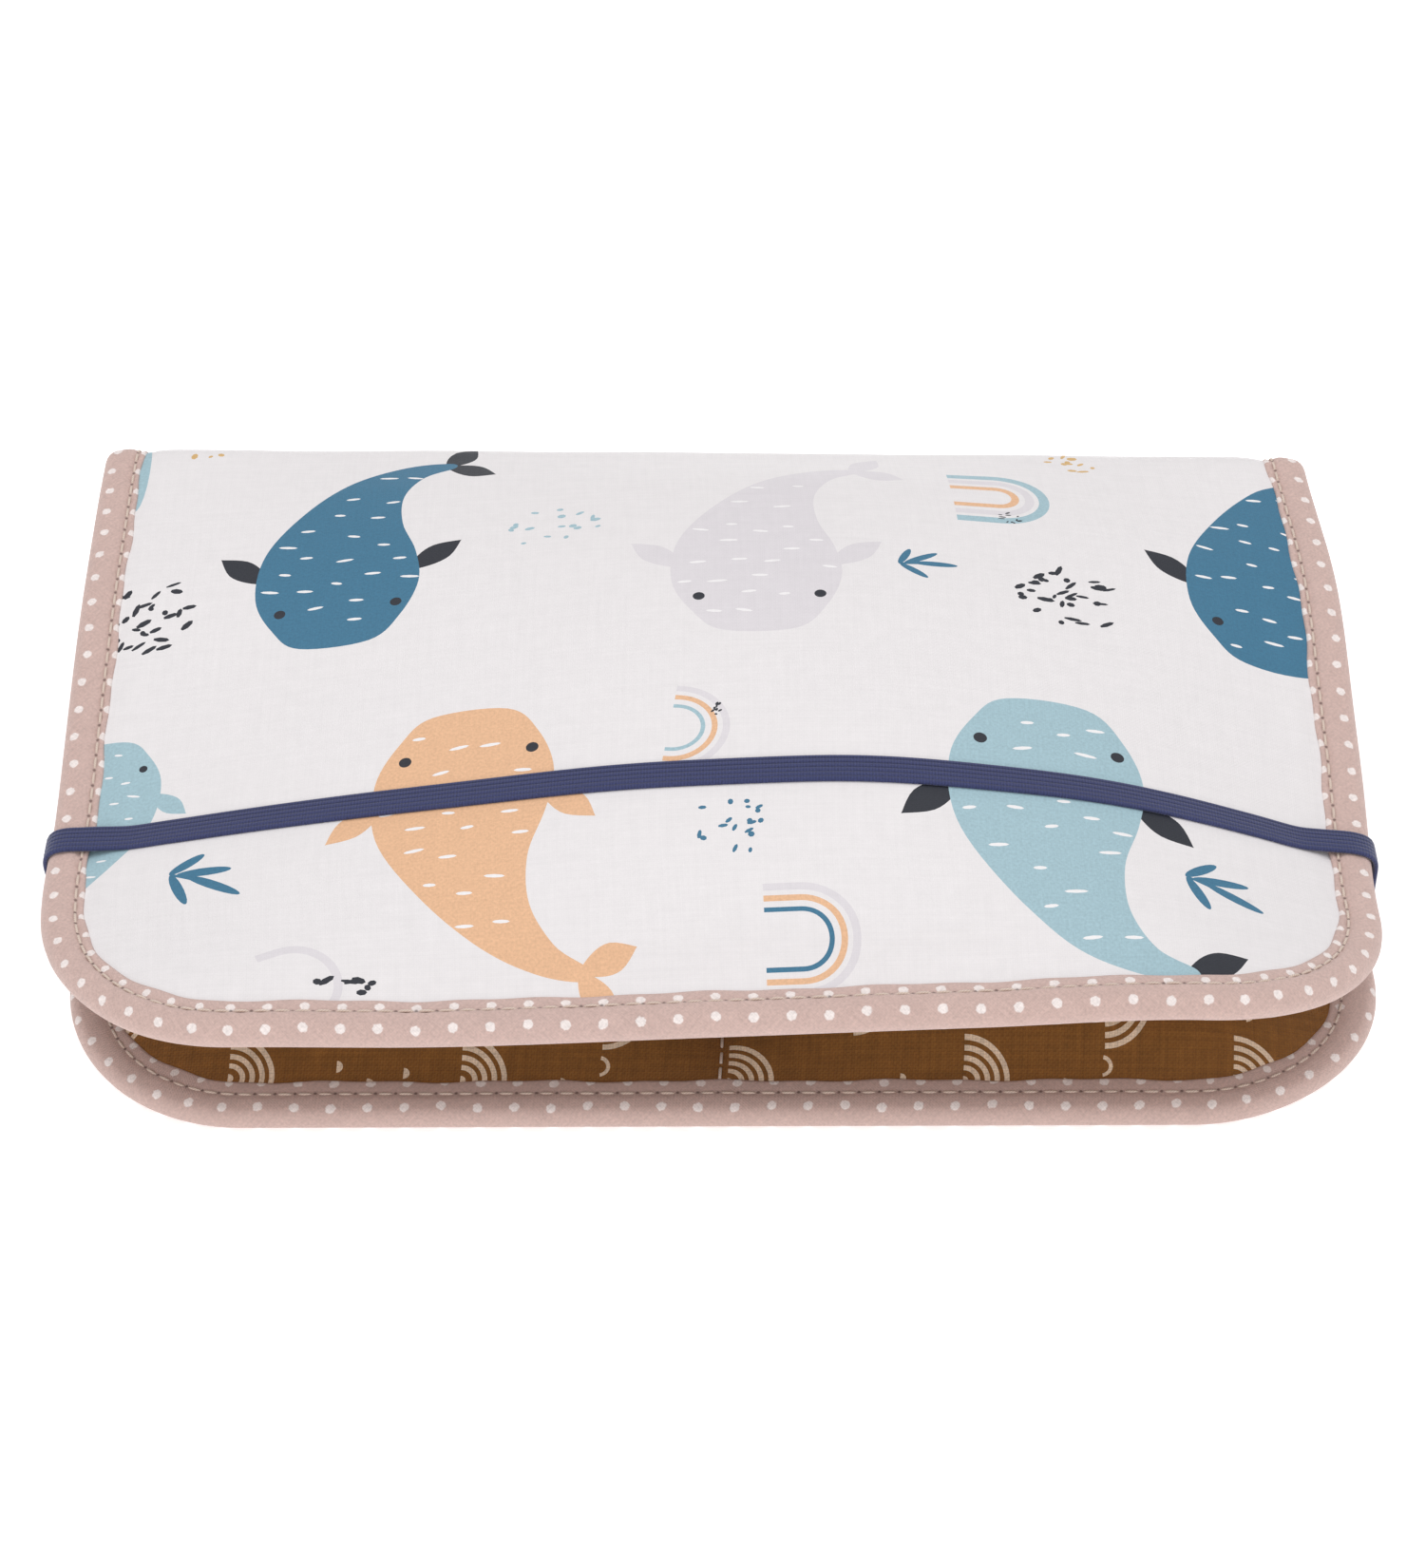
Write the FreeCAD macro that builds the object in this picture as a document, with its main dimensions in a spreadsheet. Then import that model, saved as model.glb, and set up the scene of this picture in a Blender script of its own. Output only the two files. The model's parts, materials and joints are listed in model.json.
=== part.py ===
import FreeCAD, Part
import os

import Sketcher
from FreeCAD import Placement, Rotation, Vector

# Folding changing pad clutch, closed like a book: two padded panels joined by a padded spine,
# edged with bias binding and held shut by an elastic band that is sewn to the base panel.
#
# Frame: X runs along the fold, the open front edge faces -Y, +Z is up. The origin is the middle
# of the underside. Panels and spine are built lying flat and are then placed in the object.

# (alias, millimetres or degrees, what it is)
SIZES = (
    ("half_width", 120.0, "from the middle to the side edge of every panel"),
    ("base_front", 78.0, "from the middle to the front edge of the base"),
    ("cover_front", 80.5, "from the middle to the front edge of the cover"),
    ("corner_radius", 35.0, "front corners of both panels"),
    ("fold_line", 74.5, "from the middle to the two fold lines at the back"),
    ("half_spine", 8.65, "half the height of the spine strip"),
    ("fold_gap", 0.6, "free stretch at each fold line"),
    ("binding_cloth", 0.5, "thickness of the folded bias binding"),
    ("binding_width", 8.0, "how far the binding reaches over each face"),
    ("nose_radius", 2.75, "rounded edge of the binding, half the edge's thickness"),
    ("inner_nose", 2.25, "the same edge inside the binding"),
    ("layer_gap", 0.1, "between two layers"),
    ("layer_inset", 2.9, "from the panel edge to the edge of its layers"),
    ("middle_inset", 8.2, "from the panel edge to what lies between the binding's lips"),
    ("fabric", 0.5, "coated outer fabric"),
    ("batting", 3.2, "padding"),
    ("lining", 0.4, "cotton lining"),
    ("cover_tilt", 1.2, "degrees that the closed cover falls towards its front edge"),
    ("crown", 13.5, "how far the middle of the cover stands above its edges"),
    ("crown_shift", 18.0, "how far to the right the top of the crown is"),
    ("crown_margin", 12.0, "flat border of the cover, a little wider than its binding"),
    ("thread_radius", 0.2, "sewing thread"),
    ("seam_inset", 6.8, "from the panel edge to the seam through the binding"),
    ("pocket_cloth", 0.6, "two thicknesses of cotton"),
    ("pocket_rise", 12.0, "a filled pocket's top above its edges"),
    ("pocket_mouth", 58.0, "from the middle to the open end of the pockets"),
    ("pocket_slope", 24.0, "width of a filled pocket's sloping sides"),
    ("front_slope", 34.0, "length of a filled pocket's sloping front"),
    ("slope_wall", 1.5, "level width of the cloth in a slope"),
    ("half_divider", 2.0, "half the flat strip between the two pockets"),
    ("top_bend", 10.0, "front corner radius of a pocket's raised top"),
    ("band_place", 28.0, "from the middle to the elastic band, towards the front"),
    ("band_width", 6.0, "elastic band"),
    ("band_cloth", 1.2, "thickness of the elastic band"),
    ("band_side", 120.3, "from the middle to the inside of the band at its ends"),
    ("band_end", 0.6, "height of the band's sewn ends"),
    ("band_turn", 26.4, "height at which the band bends over the cover"),
    ("band_bend", 2.0, "inner radius of that bend"),
    ("band_arc", 586.0, "inner radius of the band over the cover"),
    ("tack_height", 3.2, "length of a bar tack"),
    ("tack_width", 5.2, "width of a bar tack"),
    ("tack_cloth", 0.3, "thickness of a bar tack"),
    ("tack_end", 1.2, "height of a bar tack's lower end"),
)
SIZE = {alias: value for alias, value, _ in SIZES}
SHEET = "sizes"

# The crowned cover surface: a net of control points, and the shape of the crown's outline and flanks
CROWN_COLUMNS = 41
CROWN_ROWS = 27
CROWN_SQUARENESS = 6
CROWN_FALL = 1.5
DEGREE = 3

# Heights in a panel's stack, from the outside of the lower lip of its binding
EDGE = "nose_radius + nose_radius"
FIRST = "binding_cloth + layer_gap"
BASE_SECOND = f"{FIRST} + fabric + layer_gap"
BASE_THIRD = f"{BASE_SECOND} + batting + layer_gap"
SECOND = f"{FIRST} + lining + layer_gap"
THIRD = f"{SECOND} + batting + layer_gap"
ON_BASE = f"{BASE_THIRD} + lining + layer_gap"
THREAD = f"{EDGE} + thread_radius + layer_gap"

# The sketcher's own names: its origin, and the ends and the centre of an edge
ORIGIN, START, END, CENTRE = -1, 1, 2, 3


def make_sheet(doc):
    """The driving dimensions, one row each: name, value and meaning."""
    sheet = doc.addObject("Spreadsheet::Sheet", SHEET)
    for row, (alias, value, meaning) in enumerate(SIZES, start=1):
        sheet.set(f"A{row}", alias)
        sheet.set(f"B{row}", str(value))
        sheet.set(f"C{row}", meaning)
        sheet.setAlias(f"B{row}", alias)
    doc.recompute()


def amount(text):
    """The value of a sum of sizes such as "half_width - layer_gap"."""
    total, sign = 0.0, 1
    for word in text.split():
        if word in ("+", "-"):
            sign = 1 if word == "+" else -1
        else:
            total += sign * SIZE[word]
    return total


def expression(text):
    """The same sum, written for the sheet."""
    return " ".join(word if word in ("+", "-") else f"{SHEET}.{word}" for word in text.split())


def new_body(doc, label):
    body = doc.addObject("PartDesign::Body", label)
    body.Label = label
    return body


def new_sketch(body, name, plane="XY_Plane", offset=""):
    """A sketch on one of the body's own origin planes, moved along its normal by offset."""
    sketch = body.newObject("Sketcher::SketchObject", f"{body.Label}_{name}")
    support = next(f for f in body.Origin.OriginFeatures if f.Role == plane)
    sketch.AttachmentSupport = [(support, "")]
    sketch.MapMode = "FlatFace"
    if offset:
        sketch.setExpression("AttachmentOffset.Base.z", expression(offset))
    return sketch


def bind(sketch, constraint, text):
    """Adds a constraint whose last value is a sum of sizes."""
    index = sketch.addConstraint(Sketcher.Constraint(*constraint, amount(text)))
    sketch.setExpression(f"Constraints[{index}]", expression(text))


def pin(sketch, edge, end, corner):
    """Ties a point of an edge to a corner, given as two sums of sizes."""
    for kind, text in zip(("DistanceX", "DistanceY"), corner):
        if abs(amount(text)) < 1e-9:
            axis = -2 if kind == "DistanceX" else -1
            sketch.addConstraint(Sketcher.Constraint("PointOnObject", edge, end, axis))
        else:
            bind(sketch, (kind, ORIGIN, START, edge, end), text)


def arc_between(start, end, radius, turn):
    """The shorter arc from start to end, turning left (1) or right (-1) on the way."""
    chord = end - start
    reach = max(radius**2 - (chord.Length / 2) ** 2, 0) ** 0.5
    inwards = Vector(-chord.y, chord.x, 0).normalize() * turn
    centre = (start + end) / 2 + inwards * reach
    angles = []
    for point in (start, end) if turn > 0 else (end, start):
        spoke = point - centre
        angle = Vector(1, 0, 0).getAngle(spoke)
        angles.append(-angle if spoke.y < 0 else angle)
    return Part.ArcOfCircle(Part.Circle(centre, Vector(0, 0, 1), radius), *angles)


def trace(sketch, corners, arcs=None, closed=True):
    """Draws edges from corner to corner. arcs gives (radius, turn) for each edge that is an arc."""
    arcs = arcs or {}
    points = [Vector(amount(x), amount(y), 0) for x, y in corners]
    count = len(points) if closed else len(points) - 1
    ends = []
    for i in range(count):
        start, end = points[i], points[(i + 1) % len(points)]
        if i not in arcs:
            ends.append((sketch.addGeometry(Part.LineSegment(start, end)), START, END))
            continue
        radius, turn = arcs[i]
        edge = sketch.addGeometry(arc_between(start, end, amount(radius), turn))
        ends.append((edge, START, END) if turn > 0 else (edge, END, START))
        bind(sketch, ("Radius", edge), radius)
    for i, (edge, first, last) in enumerate(ends):
        pin(sketch, edge, first, corners[i])
        if closed or i + 1 < count:
            following, its_first, _ = ends[(i + 1) % count]
            sketch.addConstraint(Sketcher.Constraint("Coincident", edge, last, following, its_first))
        else:
            pin(sketch, edge, last, corners[-1])


def pad(body, sketch, length, middle=False):
    feature = body.newObject("PartDesign::Pad", f"{sketch.Name}_pad")
    feature.Profile = sketch
    feature.setExpression("Length", expression(length))
    feature.Midplane = middle
    return feature


def sweep(body, path, section):
    feature = body.newObject("PartDesign::AdditivePipe", f"{body.Label}_sweep")
    feature.Profile = section
    feature.Spine = path
    return feature


def panel_line(front, inset):
    """A panel's left side, front and right side, inside its edge by inset."""
    left, right = "- half_width + corner_radius", "half_width - corner_radius"
    turn = f"- {front} + corner_radius"
    corners = [
        (f"- half_width + {inset}", "fold_line"),
        (f"- half_width + {inset}", turn),
        (left, f"- {front} + {inset}"),
        (right, f"- {front} + {inset}"),
        (f"half_width - {inset}", turn),
        (f"half_width - {inset}", "fold_line"),
    ]
    radius = f"corner_radius - {inset}"
    return corners, {1: (radius, 1), 3: (radius, 1)}


def panel_layer(body, name, front, inset, bottom, thickness):
    sketch = new_sketch(body, name, offset=bottom)
    trace(sketch, *panel_line(front, inset))
    return pad(body, sketch, thickness)


def tape_section(sketch, side):
    """Folded binding in section, two lips and a rounded nose, at the left (-1) or right (1) edge."""
    out, back = ("- ", "+") if side < 0 else ("", "-")
    lip = f"{out}half_width {back} binding_width"
    nose = f"{out}half_width {back} nose_radius"
    inner_tip = f"{nose} - inner_nose" if side < 0 else f"{nose} + inner_nose"
    bottom = "binding_cloth - binding_cloth"
    corners = [
        (lip, bottom),
        (nose, bottom),
        (f"{out}half_width", "nose_radius"),
        (nose, EDGE),
        (lip, EDGE),
        (lip, f"{EDGE} - binding_cloth"),
        (nose, f"{EDGE} - binding_cloth"),
        (inner_tip, "nose_radius"),
        (nose, "binding_cloth"),
        (lip, "binding_cloth"),
    ]
    arcs = {i: ("nose_radius", side) for i in (1, 2)}
    arcs.update({i: ("inner_nose", -side) for i in (6, 7)})
    trace(sketch, corners, arcs)


def thread_section(sketch, x, height):
    centre = Vector(amount(x), amount(height), 0)
    edge = sketch.addGeometry(Part.Circle(centre, Vector(0, 0, 1), SIZE["thread_radius"]))
    bind(sketch, ("Radius", edge), "thread_radius")
    pin(sketch, edge, CENTRE, (x, height))


def panel_binding(doc, label, front):
    """Bias binding folded over the sides and front of a panel."""
    body = new_body(doc, label)
    path = new_sketch(body, "path", offset="nose_radius")
    trace(path, *panel_line(front, "nose_radius"), closed=False)
    section = new_sketch(body, "section", "XZ_Plane", "- fold_line")
    tape_section(section, -1)
    sweep(body, path, section)
    return body


def panel_stitches(doc, label, front):
    """Seam thread on the upper lip of a panel's binding."""
    body = new_body(doc, label)
    path = new_sketch(body, "path", offset=THREAD)
    trace(path, *panel_line(front, "seam_inset"), closed=False)
    section = new_sketch(body, "section", "XZ_Plane", "- fold_line")
    thread_section(section, "- half_width + seam_inset", THREAD)
    sweep(body, path, section)
    return body


def base_layers(doc):
    """Outer fabric, batting and lining of the base, from the table upwards."""
    outer = new_body(doc, "base_outer_fabric")
    panel_layer(outer, "middle", "base_front", "middle_inset", "", FIRST)
    panel_layer(outer, "whole", "base_front", "layer_inset", FIRST, "fabric")
    batting = new_body(doc, "base_batting")
    panel_layer(batting, "outline", "base_front", "layer_inset", BASE_SECOND, "batting")
    lining = new_body(doc, "base_lining")
    panel_layer(lining, "outline", "base_front", "layer_inset", BASE_THIRD, "lining")
    return [outer, batting, lining]


def crown_height(x, y):
    """How far the crowned cover stands above its flat border at x, y."""
    side = SIZE["half_width"] - SIZE["crown_margin"]
    from_top = x - SIZE["crown_shift"]
    across = from_top / (side - SIZE["crown_shift"] if from_top > 0 else side + SIZE["crown_shift"])
    front = SIZE["crown_margin"] - SIZE["cover_front"]
    middle = (SIZE["fold_line"] + front) / 2
    along = (y - middle) / (SIZE["fold_line"] - middle)
    out = abs(across) ** CROWN_SQUARENESS + abs(along) ** CROWN_SQUARENESS
    if out >= 1:
        return 0.0
    return SIZE["crown"] * (1 - out ** (2 / CROWN_SQUARENESS)) ** CROWN_FALL


def even_knots(poles):
    """Knots and multiplicities of an even, clamped B-spline."""
    spans = poles - DEGREE
    ends = [DEGREE + 1]
    return [i / spans for i in range(spans + 1)], ends + [1] * (spans - 1) + ends


def crowned_face(bottom):
    """The crowned surface over the whole cover, with its flat border at height bottom."""
    x_step = 2 * SIZE["half_width"] / (CROWN_COLUMNS - 1)
    depth = SIZE["fold_line"] + SIZE["cover_front"]
    y_step = depth / (CROWN_ROWS - 1)
    poles = []
    for i in range(CROWN_COLUMNS):
        x = i * x_step - SIZE["half_width"]
        ys = [j * y_step - SIZE["cover_front"] for j in range(CROWN_ROWS)]
        poles.append([Vector(x, y, bottom + crown_height(x, y)) for y in ys])
    surface = Part.BSplineSurface()
    x_knots, x_counts = even_knots(CROWN_COLUMNS)
    y_knots, y_counts = even_knots(CROWN_ROWS)
    surface.buildFromPolesMultsKnots(
        poles, x_counts, y_counts, x_knots, y_knots, False, False, DEGREE, DEGREE
    )
    return surface.toShape()


def cover_block(height):
    """A block with the outline of the cover's layers."""
    inset = SIZE["layer_inset"]
    side, front, back = SIZE["half_width"] - inset, SIZE["cover_front"] - inset, SIZE["fold_line"]
    block = Part.makeBox(2 * side, front + back, height, Vector(-side, -front, 0))
    upright = [edge for edge in block.Edges if abs(edge.tangentAt(0).z) > 0.5]
    front_corners = [edge for edge in upright if edge.CenterOfMass.y < 0]
    return block.makeFillet(SIZE["corner_radius"] - inset, front_corners)


def crowned_layer(doc, label, bottom, thickness):
    """One layer of the cover: the crowned surface, thickened and cut to the outline."""
    slab = crowned_face(amount(bottom)).extrude(Vector(0, 0, amount(thickness)))
    layer = doc.addObject("Part::Feature", label)
    layer.Label = label
    layer.Shape = slab.common(cover_block(amount(EDGE) + SIZE["crown"])).Solids[0]
    return layer


def cover_layers(doc):
    """Lining, batting and outer fabric of the cover, from the inside outwards."""
    return [
        crowned_layer(doc, "cover_lining", FIRST, "lining"),
        crowned_layer(doc, "cover_batting", SECOND, "batting"),
        crowned_layer(doc, "cover_outer_fabric", THIRD, "fabric"),
    ]


def spine_strip(doc, label, bottom, thickness):
    """One layer of the spine, between the bindings of its two ends."""
    body = new_body(doc, label)
    sketch = new_sketch(body, "outline", offset=bottom)
    left, right = "- half_width + layer_inset", "half_width - layer_inset"
    low, high = "- half_spine", "half_spine"
    trace(sketch, [(left, low), (right, low), (right, high), (left, high)])
    pad(body, sketch, thickness)
    return body


def spine_end(doc, name, side):
    """Binding and seam thread at one end of the spine."""
    binding = new_body(doc, f"spine_binding_{name}")
    section = new_sketch(binding, "section", "XZ_Plane")
    tape_section(section, side)
    pad(binding, section, "half_spine + half_spine", middle=True)
    stitches = new_body(doc, f"spine_stitches_{name}")
    section = new_sketch(stitches, "section", "XZ_Plane")
    seam = "- half_width + seam_inset" if side < 0 else "half_width - seam_inset"
    thread_section(section, seam, THREAD)
    pad(stitches, section, "half_spine + half_spine", middle=True)
    return [binding, stitches]


def spine_pieces(doc):
    strips = [
        spine_strip(doc, "spine_lining", FIRST, "lining"),
        spine_strip(doc, "spine_batting", SECOND, "batting"),
        spine_strip(doc, "spine_outer_fabric", THIRD, "fabric"),
    ]
    return strips + spine_end(doc, "left", -1) + spine_end(doc, "right", 1)


def pocket_outline(sketch, wall="", past=""):
    """Where a filled pocket meets the lining: the left pocket, less its wall, run past its open end."""
    less, more = (f" - {wall}", f" + {wall}") if wall else ("", "")
    mouth = f"pocket_mouth + {past}" if past else "pocket_mouth"
    left, right = f"- half_width + middle_inset{more}", f"- half_divider{less}"
    front = f"- base_front + middle_inset{more}"
    turn_x, turn_y = "- half_width + corner_radius", "- base_front + corner_radius"
    corners = [(left, mouth), (left, turn_y), (turn_x, front), (right, front), (right, mouth)]
    trace(sketch, corners, {1: (f"corner_radius - middle_inset{less}", 1)})


def pocket_top(sketch, wall="", past=""):
    """The raised top of the left pocket, drawn the same way."""
    less, more = (f" - {wall}", f" + {wall}") if wall else ("", "")
    mouth = f"pocket_mouth + {past}" if past else "pocket_mouth"
    left = f"- half_width + middle_inset + pocket_slope{more}"
    right = f"- half_divider - pocket_slope{less}"
    front = f"- base_front + middle_inset + front_slope{more}"
    turn_x = "- half_width + middle_inset + pocket_slope + top_bend"
    turn_y = "- base_front + middle_inset + front_slope + top_bend"
    corners = [(left, mouth), (left, turn_y), (turn_x, front), (right, front), (right, mouth)]
    trace(sketch, corners, {1: (f"top_bend{less}", 1)})


def loft(body, kind, bottom, top):
    feature = body.newObject(f"PartDesign::{kind}", f"{body.Label}_{kind}")
    feature.Profile = bottom
    feature.Sections = [top]
    feature.Ruled = True
    return feature


def pocket_panel(doc):
    """One cotton panel sewn down along its sides, front and middle, bulging into two filled pockets."""
    body = new_body(doc, "pocket_panel")
    rim = new_sketch(body, "rim", offset=ON_BASE)
    corners, arcs = panel_line("base_front", "middle_inset")
    for back in (0, -1):
        corners[back] = (corners[back][0], "pocket_mouth")
    trace(rim, corners, arcs)
    pad(body, rim, "pocket_cloth")

    outside = [new_sketch(body, "outside", offset=ON_BASE)]
    outside.append(new_sketch(body, "outside_top", offset=f"{ON_BASE} + pocket_rise + pocket_cloth"))
    pocket_outline(outside[0])
    pocket_top(outside[1])
    bulge = loft(body, "AdditiveLoft", *outside)

    inside = [new_sketch(body, "inside", offset=f"{ON_BASE} - layer_gap")]
    inside.append(new_sketch(body, "inside_top", offset=f"{ON_BASE} + pocket_rise"))
    pocket_outline(inside[0], wall="slope_wall", past="half_divider")
    pocket_top(inside[1], wall="slope_wall", past="half_divider")
    hollow = loft(body, "SubtractiveLoft", *inside)

    both = body.newObject("PartDesign::Mirrored", "pocket_panel_both")
    both.Originals = [bulge, hollow]
    both.MirrorPlane = (next(f for f in body.Origin.OriginFeatures if f.Role == "YZ_Plane"), [""])
    body.Tip = both
    return body


def divider_stitches(doc):
    """The seam between the two pockets, from their mouth to the front."""
    label = "pocket_divider_stitches"
    thread = doc.addObject("Part::Cylinder", label)
    thread.Label = label
    thread.setExpression("Radius", expression("thread_radius"))
    thread.setExpression("Height", expression("pocket_mouth + base_front - middle_inset"))
    height = f"{ON_BASE} + pocket_cloth + thread_radius + layer_gap"
    thread.Placement.Rotation = Rotation(Vector(1, 0, 0), -90)
    thread.setExpression("Placement.Base.y", expression("- base_front + middle_inset"))
    thread.setExpression("Placement.Base.z", expression(height))
    return thread


def band_run(cloth):
    """The band's inner (or, with its thickness added, outer) line from its left end to its right."""
    side = f"band_side{cloth}"
    shoulder, top = "band_side - band_bend", f"band_turn + band_bend{cloth}"
    return [
        (f"- {side.replace('+', '-')}", "band_end"),
        (f"- {side.replace('+', '-')}", "band_turn"),
        ("- band_side + band_bend", top),
        (shoulder, top),
        (side, "band_turn"),
        (side, "band_end"),
    ]


def elastic_band(doc):
    """The elastic in one stretch: up from the base's side, over the cover and down again."""
    body = new_body(doc, "elastic_band")
    sketch = new_sketch(body, "run", "XZ_Plane", "band_place")
    outer_bend = "band_bend + band_cloth"
    corners = band_run(" + band_cloth") + band_run("")[::-1]
    arcs = {1: (outer_bend, -1), 2: ("band_arc", -1), 3: (outer_bend, -1)}
    arcs.update({7: ("band_bend", 1), 8: ("band_arc", 1), 9: ("band_bend", 1)})
    trace(sketch, corners, arcs)
    pad(body, sketch, "band_width", middle=True)
    return body


def bar_tacks(doc):
    """The two bar tacks that sew the band's ends to the sides of the base."""
    tacks = []
    for name, side in (("left", -1), ("right", 1)):
        tack = doc.addObject("Part::Box", f"bar_tack_{name}")
        inner = "band_side + band_cloth + layer_gap"
        tack.setExpression("Length", expression("tack_cloth"))
        tack.setExpression("Width", expression("tack_width"))
        tack.setExpression("Height", expression("tack_height"))
        start = inner if side > 0 else "- band_side - band_cloth - layer_gap - tack_cloth"
        tack.setExpression("Placement.Base.x", expression(start))
        tack.setExpression("Placement.Base.y", f"-{SHEET}.band_place - {SHEET}.tack_width / 2")
        tack.setExpression("Placement.Base.z", expression("tack_end"))
        tacks.append(tack)
    label = "band_bar_tacks"
    both = doc.addObject("Part::Compound", label)
    both.Label = label
    both.Links = tacks
    return both


def place(pieces, placement):
    for piece in pieces:
        piece.Placement = placement


def build():
    doc = FreeCAD.newDocument("changing_pad")
    make_sheet(doc)
    base = base_layers(doc)
    base.append(panel_binding(doc, "base_binding", "base_front"))
    base.append(panel_stitches(doc, "base_binding_stitches", "base_front"))
    base += [pocket_panel(doc), divider_stitches(doc), elastic_band(doc), bar_tacks(doc)]

    lower_fold = amount(f"{EDGE} + fold_gap")
    upper_fold = lower_fold + 2 * (SIZE["half_spine"] + SIZE["fold_gap"])
    spine = spine_pieces(doc)
    upright = Rotation(Vector(1, 0, 0), -90)
    spine_middle = (lower_fold + upper_fold) / 2
    place(spine, Placement(Vector(0, SIZE["fold_line"], spine_middle), upright))

    cover = cover_layers(doc)
    cover.append(panel_binding(doc, "cover_binding", "cover_front"))
    cover.append(panel_stitches(doc, "cover_binding_stitches", "cover_front"))
    fall = Rotation(Vector(1, 0, 0), SIZE["cover_tilt"])
    place(cover, Placement(Vector(0, 0, upper_fold), fall, Vector(0, SIZE["fold_line"], 0)))
    doc.recompute()
    return doc, base + spine + cover


def check(doc, pieces):
    """Stops if any object failed or any piece has no valid shape."""
    for thing in doc.Objects:
        if {"Invalid", "Error"} & set(thing.State):
            raise RuntimeError(f"{thing.Label} failed: {thing.State}")
    for piece in pieces:
        if piece.Shape.isNull() or not piece.Shape.isValid() or piece.Shape.Volume <= 0:
            raise RuntimeError(f"{piece.Label} has no valid shape")


def write(pieces):
    os.makedirs("parts", exist_ok=True)
    for piece in pieces:
        piece.Shape.exportStep(f"parts/{piece.Label}.step")
        box = piece.Shape.BoundBox
        print(
            f"{piece.Label}: {piece.Shape.Volume:.0f} mm3, {len(piece.Shape.Solids)} solids, "
            f"x {box.XMin:.1f}..{box.XMax:.1f} y {box.YMin:.1f}..{box.YMax:.1f} "
            f"z {box.ZMin:.2f}..{box.ZMax:.2f}"
        )


document, all_pieces = build()
check(document, all_pieces)
write(all_pieces)
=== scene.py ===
import json
import random
from math import ceil, cos, exp, floor, hypot, pi, radians, sin, sqrt, tau

import bmesh
import bpy
import numpy as np
from mathutils import Euler, Matrix, Vector
from mathutils.geometry import delaunay_2d_cdt


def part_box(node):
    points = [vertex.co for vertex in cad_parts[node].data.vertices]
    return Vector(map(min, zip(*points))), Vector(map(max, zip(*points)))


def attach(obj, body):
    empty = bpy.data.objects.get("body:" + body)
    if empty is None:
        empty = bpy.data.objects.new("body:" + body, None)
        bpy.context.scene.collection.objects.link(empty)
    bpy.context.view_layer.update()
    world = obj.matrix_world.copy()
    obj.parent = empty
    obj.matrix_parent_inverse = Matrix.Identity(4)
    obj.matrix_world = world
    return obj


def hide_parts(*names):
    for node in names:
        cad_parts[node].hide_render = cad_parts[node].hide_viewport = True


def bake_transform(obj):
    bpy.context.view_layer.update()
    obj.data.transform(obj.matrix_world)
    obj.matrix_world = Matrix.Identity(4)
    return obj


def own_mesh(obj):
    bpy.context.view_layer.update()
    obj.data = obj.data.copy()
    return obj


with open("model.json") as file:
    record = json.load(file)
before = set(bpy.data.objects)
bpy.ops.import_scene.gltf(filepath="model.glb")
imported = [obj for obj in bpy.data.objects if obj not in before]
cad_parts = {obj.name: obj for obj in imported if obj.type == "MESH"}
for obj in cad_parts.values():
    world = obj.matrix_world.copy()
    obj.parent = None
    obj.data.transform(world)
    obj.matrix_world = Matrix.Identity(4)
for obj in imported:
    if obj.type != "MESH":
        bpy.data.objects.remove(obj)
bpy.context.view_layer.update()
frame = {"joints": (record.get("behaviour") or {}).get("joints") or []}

# A fold-over changing pad clutch. Lengths are in millimetres until a mesh is made.
MM = 0.001
UV_UNIT = 100.0  # millimetres of cloth to one unit of UV


def frame_box(node):
    """The lowest and highest corner of a CAD node, in millimetres."""
    low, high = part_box(node)
    return np.array(low) / MM, np.array(high) / MM


def hinge_place(joint):
    """Where a fold's axis crosses the y and z plane, in millimetres."""
    found = next(j for j in frame["joints"] if j["name"] == joint)
    return found["pos_m"][1] / MM, found["pos_m"][2] / MM


base_low, base_high = frame_box("base_binding")
cover_low, _ = frame_box("cover_binding")
pocket_low, pocket_high = frame_box("pocket_panel")
band_low, band_high = frame_box("elastic_band")

HALF_WIDTH = base_high[0]
BASE_FRONT = base_low[1]
COVER_FRONT = cover_low[1] + 0.5  # half a millimetre inside the CAD edge
FOLD_Y, LOW_HINGE = hinge_place("spine_fold")
HIGH_HINGE = hinge_place("cover_fold")[1]
EDGE = base_high[2] - base_low[2]  # thickness of a bound edge
CORNER = 35.0  # radius of the front corners
TAPE_WIDTH = 8.0
TAPE_STEP = 0.9  # from one modelled section of the tape to the next
SIDE_SEAM = 6.6  # from the edge to the stitches, along the sides
FRONT_SEAM = 4.9  # and along the fronts
CLOTH_DEPTH = 0.6  # the outer cloth lies this far below the tape's face
TAPE_INSET = 3.0  # where the cloths end, inside the tape
STITCH_PITCH = 3.6
STITCH_LENGTH = 2.9
THREAD = 0.27  # radius of the sewing thread

COVER_RUN = FOLD_Y - COVER_FRONT
BEND_RUN = pi / 2 * EDGE
SPINE_RUN = HIGH_HINGE - LOW_HINGE
BASE_RUN = FOLD_Y - BASE_FRONT
FABRIC_RUN = COVER_RUN + BEND_RUN + SPINE_RUN + BEND_RUN + BASE_RUN
SPINE_START = COVER_RUN + BEND_RUN
SPINE_MIDDLE = SPINE_START + SPINE_RUN / 2
BASE_START = SPINE_START + SPINE_RUN + BEND_RUN


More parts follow.
